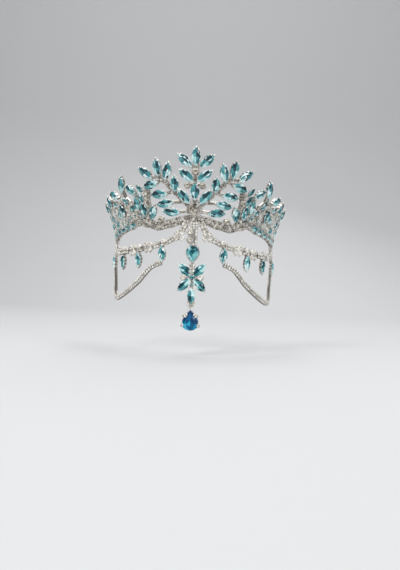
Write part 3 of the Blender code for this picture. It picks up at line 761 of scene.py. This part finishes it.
def set_small(trays, place, radius, finish="clear", base=0.55):
    """One cup with its stone and beads, on a seat."""
    turned = place @ Matrix.Rotation(chance.uniform(0, math.pi), 4, "Z")
    put_metal(trays, turned, small_cup, radius)
    points, faces, kinds = small_gem
    gem = (scaled(points, radius), faces, kinds)
    own = base + chance.uniform(-0.32, 0.32)
    lay_gem(trays[finish], above(turned, 0.80 * radius), gem, round_painted_light, own, 0.30)
    for quarter in range(4):
        turn = math.pi / 4 + quarter * math.pi / 2
        spot = Matrix.Translation((math.cos(turn) * radius, math.sin(turn) * radius, radius * 0.92))
        put_metal(trays, place @ spot, bead, radius)


def new_trays():
    """One tray of each finish."""
    return {"silver": new_tray(), "clear": new_tray(), "aqua": new_tray()}


def pour_all(trays, name, body="crown"):
    """Pour each tray that has something in it."""
    for finish, tray in trays.items():
        if tray["faces"]:
            pour(tray, name + "_" + finish, finish, body)
    print(name, {finish: len(tray["faces"]) for finish, tray in trays.items()}, "faces")

# %% [markdown]
# ## The backs of the settings
#
# Turned over, such a crown shows the feet of its cups: each small stone has a round dimpled
# stud soldered to the back of the metal, and each leaf a shallow boat-shaped tray. So every
# stone on the front is looked up once more from the inside. The first metal that a ray
# meets from there is the back, and the stud is set on it, facing inwards.

# %% Studs on the back
# The third numbers are painted shade, darkest in the stud's dimple.
STUD_PROFILE = [(0.90, -0.30, 0.4), (0.84, 0.20, 0.1), (0.58, 0.36, 0.0), (0.36, 0.20, 0.6)]
BACK_RAY = 12 * MM
stud = lathe(STUD_PROFILE, 8)


def back_seat(nodes, place):
    """The frame on the back of the first metal under a stone, facing inwards, or None."""
    start = place @ Vector((0, 0, -RAY_START))
    for node in nodes:
        hit = metal_trees[node].ray_cast(start, place.to_3x3() @ Vector((0, 0, 1)), BACK_RAY)
        if hit[0] is not None:
            return above(place, hit[3] - RAY_START) @ Matrix.Rotation(math.pi, 4, "X")
    return None


def set_stud(trays, node, place, radius):
    """The foot of a small cup on the back of the metal."""
    seat = back_seat([node], place)
    if seat:
        put_metal(trays, seat, stud, radius)


def plate(tray, place, length, width, low, high):
    """A slim bar of metal with a bevelled upper edge."""
    bevel = 0.3 * MM
    levels = [(length / 2, width / 2, low), (length / 2, width / 2, high - bevel),
              (length / 2 - bevel, width / 2 - bevel, high)]
    corners = ((-1, -1), (1, -1), (1, 1), (-1, 1))
    points, faces = loft([[(a * x, b * y, z) for a, b in corners] for x, y, z in levels])
    add(tray, place, points, faces, [0.1] * len(faces))


print("a stud has", len(stud[1]), "faces")

# %% [markdown]
# ## Small aqua leaves
#
# A small leaf has its own cup, cut to the same outline as the stone. The cup is a low wall
# with a floor, both painted with shade, and the stone's girdle lies on the rim. The back of each
# large setting gets the same cup as a shallow tray, and its side gets flutes, painted light and
# dark by turns as painted highlight and painted shade.

# %% The small leaf setting
CUP_SIDES, LEAF_LIFT = 12, 0.9 * MM
SMALL_CLAW_TURNS = (0.0, 0.15, 0.35, 0.5, 0.65, 0.85)


def leaf_cup(length, width, depth, edge=marquise_edge):
    """A closed cup with a marquise outline, or another."""
    # Each level's third number is its painted shade: darker on the inner wall and the floor.
    levels = [(1.0, -0.3 * MM, 0.4), (1.0, depth, 0.0), (0.84, depth, 0.5), (0.80, depth * 0.4, 0.65)]
    outline = [edge(index / CUP_SIDES, length, width) for index in range(CUP_SIDES)]
    rings = [[(x * share, y * share, height) for x, y in outline] for share, height, _ in levels]
    points, faces = loft(rings)
    return points, faces, [shade for _, _, shade in levels[:-1] for _ in outline] + [0.5, 0.55]


def set_leaf(trays, place, length, width):
    """A small marquise in its cup, with claws at its tips and sides."""
    add(trays["silver"], place, *leaf_cup(length, width, LEAF_LIFT))
    raised = above(place, LEAF_LIFT)
    gem = brilliant(marquise_edge, length, width, width * 0.28, width * 0.15)
    lay_gem(trays["aqua"], raised, gem, leaf_painted_light, 0.5)
    claim(raised, length + 0.6 * MM, width + 0.6 * MM)
    claw_edge(trays["silver"], raised, marquise_edge, (length, width), SMALL_CLAW_TURNS, 0.55)


# %% The side and the back of a large setting
FLUTES = 28
# The flutes are painted bright and dark by turns, a painted highlight and a painted shade.
FLUTE_REACH, FLUTE_SHADES = (0.965, 1.0), (0.15, 0.75)
SIDE_MARGIN = (2.7 * MM, 2.25 * MM)


def set_tray(trays, nodes, place, length, width, edge=marquise_edge):
    """The tray on the back of a large stone's setting."""
    seat = back_seat(nodes, place)
    if seat:
        add(trays["silver"], seat, *leaf_cup(length * 0.78, width * 0.72, 0.45 * MM, edge))


def set_gallery(trays, nodes, place, length, width):
    """Flutes round the side of a leaf's setting, under the stone's rim."""
    seat = back_seat(nodes, place)
    if seat is None:
        return
    low = (place.inverted() @ seat.translation).z + 0.35 * MM
    outline = [marquise_edge(index / FLUTES, length, width) for index in range(FLUTES)]
    swollen = [(x * FLUTE_REACH[i % 2], y * FLUTE_REACH[i % 2]) for i, (x, y) in enumerate(outline)]
    points, faces = loft([[(x, y, height) for x, y in swollen] for height in (low, -0.25 * MM)])
    add(trays["silver"], place, points, faces, [FLUTE_SHADES[i % 2] for i in range(FLUTES)] + [0.4, 0.4])


backs, drop_back = new_trays(), new_trays()
for name, (seat, length, width, _) in stone_seats.items():
    edge = CUTS.get(name, LEAF_CUT)[0]
    if name == "blue_drop":
        set_tray(drop_back, ["drop_setting"], seat, length, width, edge)
    else:
        set_tray(backs, ["crown_frame", "pendant_frame"], seat, length, width, edge)
    if edge is marquise_edge:
        outline = (length + SIDE_MARGIN[0], width + SIDE_MARGIN[1])
        set_gallery(backs, ["crown_frame", "pendant_frame"], seat, *outline)
pour_all(backs, "leaf_backs")
pour_all(drop_back, "drop_back", "drop")

# %% The leaves along the wings' lower edge
AQUA_EDGE = (0.455 * HALF_LENGTH, 0.83 * HALF_LENGTH)
EDGE_LEAF = (8.0 * MM, 4.4 * MM)
EDGE_COUNT = 5
leaves = new_trays()
for side in (1, -1):
    for index in range(EDGE_COUNT):
        along = AQUA_EDGE[0] + (AQUA_EDGE[1] - AQUA_EDGE[0]) * (index + 0.5) / EDGE_COUNT
        slope = math.degrees(math.atan2(lower_edge(along + MM) - lower_edge(along - MM), 2 * MM))
        place = pattern_frame(wall_point, side * along, lower_edge(along) + 1.9 * MM, side * (slope + 16))
        set_leaf(leaves, above(place, metal_height("crown_frame", place)), *EDGE_LEAF)
pour_all(leaves, "edge_leaves")

# %% [markdown]
# ## The band
#
# Four rows of stones follow the scalloped lower edge from temple to temple. Every other row
# is shifted by half a stone, so the rows nest as bricks do. The outer rows overhang the bevel
# of the metal a little, as on the real band, where no edge of the plate shows. Along the
# wings the lowest row is a chain of small aqua leaves, and half the stones over it are aqua.

# %% Setting the band
PITCH, ROW = 2.22 * MM, 1.98 * MM
BAND_STONE = 1.08 * MM
BAND_HEIGHTS = (1.0 * MM, 3.0 * MM)


def band_seat(along, row):
    """The seat of a band stone, at the height of the metal below it or else of the band's middle."""
    middle = lower_edge(along) + BAND_WIDTH / 2
    place = pattern_frame(wall_point, along, middle + (row - 1.5) * ROW)
    height = metal_height("crown_frame", pattern_frame(wall_point, along, middle))
    height = min(max(height or 0, BAND_HEIGHTS[0]), BAND_HEIGHTS[1])
    own = metal_height("crown_frame", place)
    return above(place, own if own is not None and abs(own - height) < 0.6 * MM else height)


band = new_trays()
count = int(HALF_LENGTH / PITCH)
for row in range(4):
    for index in range(-count, count + 1):
        along = (index + 0.5 * (row % 2)) * PITCH
        if abs(along) > HALF_LENGTH - 1.2 * MM:
            continue
        seat = band_seat(along, row)
        if under_a_leaf(seat.translation, BAND_STONE * 0.5):
            continue
        on_wing = AQUA_EDGE[0] < abs(along) < AQUA_EDGE[1]
        set_small(band, seat, BAND_STONE, "aqua" if on_wing and chance.random() < 0.55 else "clear", 0.50)
        set_stud(band, "crown_frame", seat, BAND_STONE)
pour_all(band, "band")

# %% [markdown]
# ## Branches
#
# The branches carry one or two rows of small stones, and the upright stems three. A walk
# along each branch's line gives a point at every pitch, and the rows stand to the left and
# right of it. A stem's outer cups are soldered to the middle one, so they take its height.

# %% Walking the branches
BRANCHES = [
    (1, False, [(0.0, 0.03), (0.0, 0.13)]), (1, False, [(0.0, 0.21), (0.0, 0.36)]),
    (1, False, [(0.0, 0.42), (0.0, 0.64)]), (1, False, [(0.0, 0.66), (0.0, 0.80)]),
    (2, True, [(0.020, 0.180), (0.060, 0.255), (0.140, 0.410), (0.210, 0.575), (0.233, 0.635)]),
    (1, True, [(0.005, 0.700), (0.030, 0.765)]), (1, True, [(0.0, 0.505), (0.040, 0.490)]),
    (1, True, [(0.208, 0.575), (0.248, 0.530)]), (1, True, [(0.219, 0.603), (0.278, 0.610)]),
    (1, True, [(0.140, 0.400), (0.190, 0.380)]), (1, True, [(0.070, 0.262), (0.156, 0.263)]),
    (1, True, [(0.012, 0.150), (0.115, 0.127)]), (3, True, [(0.348, 0.090), (0.340, 0.200), (0.333, 0.460)]),
    (1, True, [(0.423, 0.290), (0.432, 0.440)]), (2, True, [(0.545, 0.410), (0.556, 0.490)]),
    (1, True, [(0.610, 0.400), (0.622, 0.440)]),
]


def flat_line(side, shares, height):
    """Points of a line on the flat pattern, from shares of its length and of a height."""
    return [Vector((side * share * HALF_LENGTH, up * height)) for share, up in shares]


def walk(points, pitch):
    """Points at an equal pitch along a line of straight runs, with the way it runs there."""
    steps = []
    spare = pitch / 2
    for start, end in zip(points, points[1:]):
        run = end - start
        travelled = spare
        while travelled <= run.length:
            steps.append((start + run * (travelled / run.length), run.normalized()))
            travelled += pitch
        spare = travelled - run.length
    return steps


ROW_OFFSETS = {1: (0.0,), 2: (-1.02 * MM, 1.02 * MM), 3: (-2.1 * MM, 0.0, 2.1 * MM)}
BRANCH_PITCH, BRANCH_STONE = 2.15 * MM, 1.02 * MM


def branch_seat(spot, at, stem):
    """The seat of a branch's stone; beside a stem's middle it comes from the middle one."""
    if not stem or at == spot:
        return find_seat("crown_frame", wall_point, at.x, at.y, 1.0 * MM, high=2.4 * MM)
    seat = branch_seat(spot, spot, False)
    if seat:
        seat = above(seat, -0.15 * MM)
        seat.translation += wall_point(at.x, at.y) - wall_point(spot.x, spot.y)
    return seat


branch_stones = new_trays()
for rows, twin, points in BRANCHES:
    for side in (1, -1) if twin else (1,):
        for spot, way in walk(flat_line(side, points, CROWN_HEIGHT), BRANCH_PITCH):
            for offset in ROW_OFFSETS[rows]:
                seat = branch_seat(spot, spot + Vector((-way.y, way.x)) * offset, rows == 3)
                if seat and not under_a_leaf(seat.translation, 0.5 * MM):
                    set_small(branch_stones, seat, BRANCH_STONE, base=0.58)
                    set_stud(branch_stones, "crown_frame", seat, BRANCH_STONE)
pour_all(branch_stones, "branch")

# %% [markdown]
# ## Stones on fused settings
#
# Some settings are solid in the CAD model, with no stone of their own: four leaves in each
# wing, the round stones of the band, the flowers and drops of the chain. Each gets a stone
# just larger than the metal below it, which then shows as its bezel.

# %% Leaves of the wings
WING_LEAVES = [(0.425, 0.200, 92), (0.590, 0.150, 84), (0.760, 0.330, 78), (0.895, 0.300, 74)]
SMALL_LEAF = (11 * MM, 4.7 * MM)
fused = new_trays()


def mirror(side, degrees):
    """An angle on the left half of the pattern, or its mirror image on the right."""
    return degrees if side > 0 else 180 - degrees


def cap_leaf(trays, node, place, length, width, girdle, crown, base=0.5):
    """A marquise over a fused setting."""
    set_tray(trays, [node], place, length, width)
    raised = above(place, girdle)
    gem = brilliant(marquise_edge, length, width, crown, crown * 0.8)
    lay_gem(trays["aqua"], raised, gem, leaf_painted_light, base)
    set_gallery(trays, [node], raised, length - 0.3 * MM, width - 0.25 * MM)
    claim(raised, length, width)
    claw_edge(trays["silver"], raised, marquise_edge, (length, width), CLAW_TURNS[marquise_edge], 0.9)


for along, up, degrees in WING_LEAVES:
    for side in (1, -1):
        angle = math.radians(degrees)
        spot = (side * (along * HALF_LENGTH + math.cos(angle) * SMALL_LEAF[0] / 2),
                up * CROWN_HEIGHT + math.sin(angle) * SMALL_LEAF[0] / 2)
        place = pattern_frame(wall_point, *spot, mirror(side, degrees))
        length, width = SMALL_LEAF[0] + 2.2 * MM, SMALL_LEAF[1] + 1.6 * MM
        cap_leaf(fused, "crown_frame", place, length, width, 3.2 * MM, 1.75 * MM)

# %% [markdown]
# ## Round stones with a beaded edge
#
# The champagne stones at the feet of the sprays have a milled edge: a ring of tiny beads
# round the stone. The beads are set one by one round the rim.

# %% Round stones
ROUND_STONES = [(0.000, 0.675, 6.0, False), (0.048, 0.490, 4.8, True), (0.243, 0.038, 6.0, True),
                (0.336, 0.310, 4.8, True), (0.500, 0.000, 4.0, True)]


def ring_places(place, edge, count, length, width, height):
    """Places at an equal turn round an outline."""
    for index in range(count):
        yield place @ Matrix.Translation((*edge(index / count, length, width), height))


def cap_round(trays, node, place, size, edge=round_edge, girdle=2.9 * MM, beads=16, base=0.48):
    """A round stone over a fused setting, with a ring of beads."""
    set_stud(trays, node, place, size * 0.42)
    raised = above(place, girdle)
    lay_gem(trays["clear"], raised, brilliant(edge, size, size, 0.30 * size, 0.12 * size), round_painted_light, base)
    claim(raised, size + 1.2 * MM, size * 1.6)
    for spot in ring_places(raised, edge, beads, size + 0.5 * MM, size + 0.5 * MM, -0.1 * MM):
        put_metal(trays, spot, bead, 1.6 * MM)


for along, up, size, twin in ROUND_STONES:
    for side in (1, -1) if twin else (1,):
        place = pattern_frame(wall_point, side * along * HALF_LENGTH, up * CROWN_HEIGHT)
        cap_round(fused, "crown_frame", place, (size + 0.5) * MM)

# %% The ring round the oval
OVAL_BEADS = (22, 2.0 * MM, -0.1 * MM)
OVAL_HALO = (15, 5.2 * MM, -1.3 * MM)
oval_seat, oval_length, oval_width, _ = stone_seats["centre_oval"]


def round_the_oval(count, margin, height):
    """Places round the oval stone at a margin from it."""
    return ring_places(oval_seat, round_edge, count, oval_length + margin, oval_width + margin, height)


for spot in round_the_oval(*OVAL_BEADS):
    put_metal(fused, spot, bead, 1.8 * MM)
for spot in round_the_oval(*OVAL_HALO):
    if not under_a_leaf(spot.translation, -0.2 * MM):
        set_small(fused, spot, 1.05 * MM, base=0.62)
pour_all(fused, "fused")

# %% [markdown]
# ## The wings
#
# Behind each wing's leaves lies a field of small stones on a plate. A few small leaves go on
# first, along the outer end. Then the field is filled as a honeycomb: a stone is set wherever
# five rays round its seat find flat metal, and no large stone is in the way. About one in
# five is aqua, and more of them towards the outer edge. Two leaves lean off each stem beside
# the wing, each on a short stalk.

# %% Filling the fields
OUTER_LEAVES = [(0.480, 0.230, 165), (0.952, -0.040, 82), (0.962, 0.100, 88), (0.958, 0.235, 96),
                (0.940, 0.355, 108), (0.690, 0.345, 30), (0.820, 0.180, 60), (0.835, 0.385, 40),
                (0.660, 0.190, 120), (0.890, 0.075, 100), (0.540, 0.350, 60), (0.740, 0.060, 140)]
OUTER_LEAF = (9.4 * MM, 4.8 * MM)
STEM_LEAVES = [(45.5, 23.0, 71, 12.4, 4.9, (42.6, 16.4)), (45.3, 31.1, 61, 9.6, 4.4, (42.4, 26.4))]
STEM_LIFT = 1.6 * MM
WING_PITCH, WING_STONE = 2.45 * MM, 1.16 * MM
WING_LINES, WING_COLUMNS, HONEYCOMB = 16, 31, 0.89
WING_START, OUTER_START = 0.380, 0.78


def wing_leaves(wing, side):
    """The small leaves of one wing, and the two on stalks beside it."""
    for share, up, degrees in OUTER_LEAVES:
        along = side * share * HALF_LENGTH
        place = pattern_frame(wall_point, along, up * CROWN_HEIGHT, mirror(side, degrees))
        height = metal_height("crown_frame", place)
        if height is not None:
            set_leaf(wing, above(place, height), *OUTER_LEAF)
    for along, up, degrees, length, width, foot in STEM_LEAVES:
        turn = mirror(side, degrees)
        place = pattern_frame(wall_point, side * along * MM, up * MM, turn)
        set_leaf(wing, above(place, STEM_LIFT), length * MM, width * MM)
        stalk = pattern_frame(wall_point, side * foot[0] * MM, foot[1] * MM, turn - side * 30)
        plate(wing["silver"], stalk, 5.4 * MM, 1.6 * MM, 0.6 * MM, STEM_LIFT + 0.5 * MM)


for side, wing_name in ((1, "wing_left"), (-1, "wing_right")):
    wing = new_trays()
    wing_leaves(wing, side)
    for line_number in range(WING_LINES):
        for index in range(WING_COLUMNS):
            along = WING_START * HALF_LENGTH + (index + 0.5 * (line_number % 2)) * WING_PITCH
            up = lower_edge(along) + BAND_WIDTH + 1.1 * MM + line_number * WING_PITCH * HONEYCOMB
            if along > HALF_LENGTH:
                continue
            seat = find_seat("crown_frame", wall_point, side * along, up, WING_STONE)
            if seat is None:
                continue
            outer = max(0.0, (along / HALF_LENGTH - OUTER_START) * 2.2)
            finish = "aqua" if chance.random() < 0.20 + outer else "clear"
            set_small(wing, seat, WING_STONE, finish, base=0.74 if finish == "clear" else 0.56)
            set_stud(wing, "crown_frame", seat, WING_STONE)
    pour_all(wing, wing_name)

# %% [markdown]
# ## The pendant
#
# From the top: a strap of three rows with two larger stones on its lower half, the aqua pear,
# six small round stones in pairs, a flower of four leaves with a square stone on each side,
# another leaf, and a little arc of five stones over the blue drop.

# %% The strap
pendant = new_trays()
STRAP_PITCH, STRAP_ROW, STRAP_STONE = 2.28 * MM, 2.2 * MM, 1.1 * MM
STRAP_TOP, BIG_STONE_ROOM = -1.6 * MM, 3.4 * MM
BIG_STRAP_STONES = [(-2.9 * MM, -9.6 * MM), (-2.9 * MM, -16.2 * MM)]
for row in (-1, 0, 1):
    for index in range(9):
        x, up = row * STRAP_ROW, STRAP_TOP - index * STRAP_PITCH
        if any(math.hypot(x - a, up - b) < BIG_STONE_ROOM for a, b in BIG_STRAP_STONES):
            continue
        seat = find_seat("pendant_frame", hung_point, x, up, STRAP_STONE, high=1.8 * MM)
        if seat:
            set_small(pendant, seat, STRAP_STONE, base=0.78)
            set_stud(pendant, "pendant_frame", seat, STRAP_STONE)
for x, up in BIG_STRAP_STONES:
    place = pattern_frame(hung_point, x, up)
    put_metal(pendant, above(place, 0.9 * MM), small_cup, 2.7 * MM)
    cap_round(pendant, "pendant_frame", place, 4.9 * MM, girdle=3.2 * MM, base=0.70)


# %% The flower and the small stones round it
def stones_on_plate(up, turn, size, high, stones, base):
    """A small plate of the pendant with stones on it, which are given in millimetres."""
    plate(pendant["silver"], pattern_frame(hung_point, 0.0, up, turn), *size, 0.5 * MM, high)
    for x, stone_up, radius, finish in stones:
        place = above(pattern_frame(hung_point, x * MM, stone_up * MM), high)
        set_small(pendant, place, radius * MM, finish, base=base)


FLOWER_MIDDLE = -0.520 * PENDANT_LENGTH / MM
SQUARE_REACH = 6.96 * MM
for side in (1, -1):
    place = pattern_frame(hung_point, side * SQUARE_REACH, FLOWER_MIDDLE * MM, 45)
    cap_round(pendant, "pendant_frame", place, 5.6 * MM, square_edge, 2.9 * MM, beads=12, base=0.74)
NECK_STONES = [(x, up, 1.16, "clear") for up in (-37.8, -40.2, -42.6) for x in (-1.2, 1.2)]
FLOWER_STONES = [(0.0, 0.0, 2.20, "aqua"), (0.0, 4.0, 1.20, "clear"), (-1.3, -3.7, 1.15, "clear"),
                 (1.3, -3.7, 1.15, "clear"), (0.0, -5.8, 1.15, "aqua")]
CRESCENT = [(-1.2, -69.4), (1.2, -69.4), (-2.3, -71.5), (0.0, -72.0), (2.3, -71.5)]
stones_on_plate(-40.2 * MM, 90, (7.4 * MM, 4.8 * MM), 1.9 * MM, NECK_STONES, 0.78)
stones_on_plate((FLOWER_MIDDLE - 1.5) * MM, 90, (12.0 * MM, 3.2 * MM), 2.3 * MM,
                [(x, FLOWER_MIDDLE + up, radius, finish) for x, up, radius, finish in FLOWER_STONES], 0.66)
stones_on_plate(-70.6 * MM, 0.0, (6.4 * MM, 3.4 * MM), 1.5 * MM,
                [(x, up, 1.15, "clear") for x, up in CRESCENT], 0.78)
pour_all(pendant, "pendant")

# %% [markdown]
# ## The chains
#
# Each side of the forehead chain is two rows of very small stones, with a four-petalled
# flower where it turns and aqua leaves hanging below. The swag under it is a double row of
# cups. All of them lie on the CAD bars, whose ridges run under the two rows.

# %% The chain's rows
CHAIN_ROUTE = [(0.102, -0.135), (0.225, -0.205), (0.350, -0.235), (0.510, -0.250), (0.640, -0.245),
               (0.760, -0.225), (0.880, -0.185)]
CHAIN_FLOWERS = [(0.102, -0.135), (0.350, -0.235), (0.510, -0.250), (0.880, -0.185)]
CHAIN_DROPS = [(0.228, -0.230), (0.435, -0.275), (0.630, -0.275), (0.880, -0.250)]
CHAIN_SQUARES = [(0.222, -0.186), (0.430, -0.222), (0.640, -0.222), (0.715, -0.250), (0.790, -0.196)]
CHAIN_START_POINT = Vector((10.2, -6.7)) * MM
STRIP_START, STRIP_END = Vector((7.2, -1.8)) * MM, Vector((10.4, -9.0)) * MM
STRIP_WIDTH, STRIP_HEIGHT = 5.0 * MM, 1.9 * MM
PETAL, PETAL_REACH = 4.4 * MM, 3.15 * MM
CORNER_TURNS = (0.125, 0.375, 0.625, 0.875)
CHAIN_PITCH, CHAIN_SPREAD, CHAIN_STONE = 2.4 * MM, 1.25 * MM, 1.18 * MM
DROP_FALL = 6.8 * MM


def chain_rows(trays, node, line, pitch, spread, radius, base):
    """Two rows of small stones along a bar below the band."""
    placed = 0
    for spot, way in walk(line, pitch):
        across = Vector((-way.y, way.x))
        for offset in (-spread, spread):
            at = spot + across * offset
            place = pattern_frame(hung_point, at.x, at.y)
            height = metal_height(node, place)
            if height is not None and height < 2.3 * MM and not under_a_leaf(place.translation, radius * 0.4):
                set_small(trays, above(place, height - 0.1 * MM), radius, base=base)
                set_stud(trays, node, place, radius * 0.9)
                placed += 1
    return placed


def chain_flower(trays, place):
    """Four square petals round a bead."""
    gem = brilliant(square_edge, PETAL, PETAL, 1.2 * MM, 0.7 * MM)
    for quarter in range(4):
        turned = place @ Matrix.Rotation(math.radians(45 + 90 * quarter), 4, "Z")
        petal = turned @ Matrix.Translation((PETAL_REACH, 0, 1.75 * MM))
        own = 0.80 + chance.uniform(-0.12, 0.12)
        lay_gem(trays["clear"], petal, gem, round_painted_light, own)
        claw_edge(trays["silver"], petal, square_edge, (PETAL, PETAL), CORNER_TURNS, 0.6)
    put_metal(trays, above(place, 2.6 * MM), bead, 2.6 * MM)
    claim(place, 11.5 * MM, 16 * MM)


def start_strip(trays, side):
    """The wide strip beside the pendant's strap, with two rows of four stones."""
    start, end = (Vector((side * point.x, point.y)) for point in (STRIP_START, STRIP_END))
    middle, run = (start + end) / 2, end - start
    strip = pattern_frame(hung_point, middle.x, middle.y, math.degrees(math.atan2(run.y, run.x)))
    plate(trays["silver"], strip, run.length, STRIP_WIDTH, 0.6 * MM, STRIP_HEIGHT)
    for step in range(4):
        for across in (-1.25, 1.25):
            along = (step / 3 - 0.5) * (run.length - 2.4 * MM)
            spot = strip @ Matrix.Translation((along, across * MM, STRIP_HEIGHT))
            set_small(trays, spot, 1.2 * MM, base=0.82)


for side, ending in ((1, "left"), (-1, "right")):
    chain = new_trays()
    node = "forehead_chain_" + ending
    line = [Vector((side * CHAIN_START_POINT.x, CHAIN_START_POINT.y))]
    line += flat_line(side, CHAIN_ROUTE, PENDANT_LENGTH)
    for a, b in CHAIN_FLOWERS:
        chain_flower(chain, pattern_frame(hung_point, side * a * HALF_LENGTH, b * PENDANT_LENGTH))
    start_strip(chain, side)
    for a, b in CHAIN_SQUARES:
        square = pattern_frame(hung_point, side * a * HALF_LENGTH, b * PENDANT_LENGTH, 45)
        add(chain["silver"], square, *leaf_cup(4.2 * MM, 4.2 * MM, 2.3 * MM, square_edge))
        cap_round(chain, node, square, 4.0 * MM, square_edge, 2.5 * MM, beads=8, base=0.80)
    count = chain_rows(chain, node, line, CHAIN_PITCH, CHAIN_SPREAD, CHAIN_STONE, 0.82)
    for a, b in CHAIN_DROPS:
        place = pattern_frame(hung_point, side * a * HALF_LENGTH, b * PENDANT_LENGTH - DROP_FALL, 90)
        cap_leaf(chain, node, place, 14.2 * MM, 7.0 * MM, 3.0 * MM, 1.6 * MM, base=0.62)
    pour_all(chain, "chain_" + ending)
    print(count, "stones in the rows of the", ending, "chain")


# %% The swags
SWAG_ROUTE = [(0.330, -0.430), (0.430, -0.550), (0.560, -0.640), (0.690, -0.690), (0.780, -0.690),
              (0.825, -0.630), (0.842, -0.520)]
DROP_LENGTH, SWAG_SEAT = 13.6 * MM, 0.7 * MM
SWAG_PITCH, SWAG_SPREAD, SWAG_STONE = 2.45 * MM, 1.12 * MM, 1.08 * MM


def smooth_line(points, steps):
    """A smooth curve through points, each stretch cut into short runs."""
    padded = [points[0]] + points + [points[-1]]
    line = []
    for before, start, end, after in zip(padded, padded[1:], padded[2:], padded[3:]):
        bend = 2 * before - 5 * start + 4 * end - after
        twist = 3 * start - before - 3 * end + after
        for step in range(steps):
            t = step / steps
            line.append(0.5 * (2 * start + (end - before) * t + bend * t ** 2 + twist * t ** 3))
    return line + [points[-1]]


def drop_tip(share, up):
    """The lower tip of a chain's aqua drop, on the flat pattern."""
    return Vector((share * HALF_LENGTH, up * PENDANT_LENGTH - DROP_LENGTH - SWAG_SEAT))


SWAG_START = drop_tip(*CHAIN_DROPS[0]) + Vector((SWAG_SEAT, 0))
SWAG_END = drop_tip(*CHAIN_DROPS[-1]) - Vector((0.3 * MM, 0))
for side, ending in ((1, "left"), (-1, "right")):
    swag = new_trays()
    points = [SWAG_START, *flat_line(1, SWAG_ROUTE, PENDANT_LENGTH), SWAG_END]
    line = [Vector((side * point.x, point.y)) for point in smooth_line(points, 2)]
    count = chain_rows(swag, "swag_" + ending, line, SWAG_PITCH, SWAG_SPREAD, SWAG_STONE, 0.86)
    pour_all(swag, "swag_stones_" + ending)
    print(count, "stones in the", ending, "swag")

# %% [markdown]
# ## The sizes
#
# The CAD model's box and the dressed crown's box are both gathered, and the second is printed.
# The dressed crown may stand only a little way out of the CAD model's box.

# %% Sizes, and the last line
visual_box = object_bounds()
size = {"cad_box": [list(corner) for corner in cad_box],
        "visual_box": [list(corner) for corner in visual_box]}
print("visual box", [[round(v / MM, 1) for v in corner] for corner in size["visual_box"]])
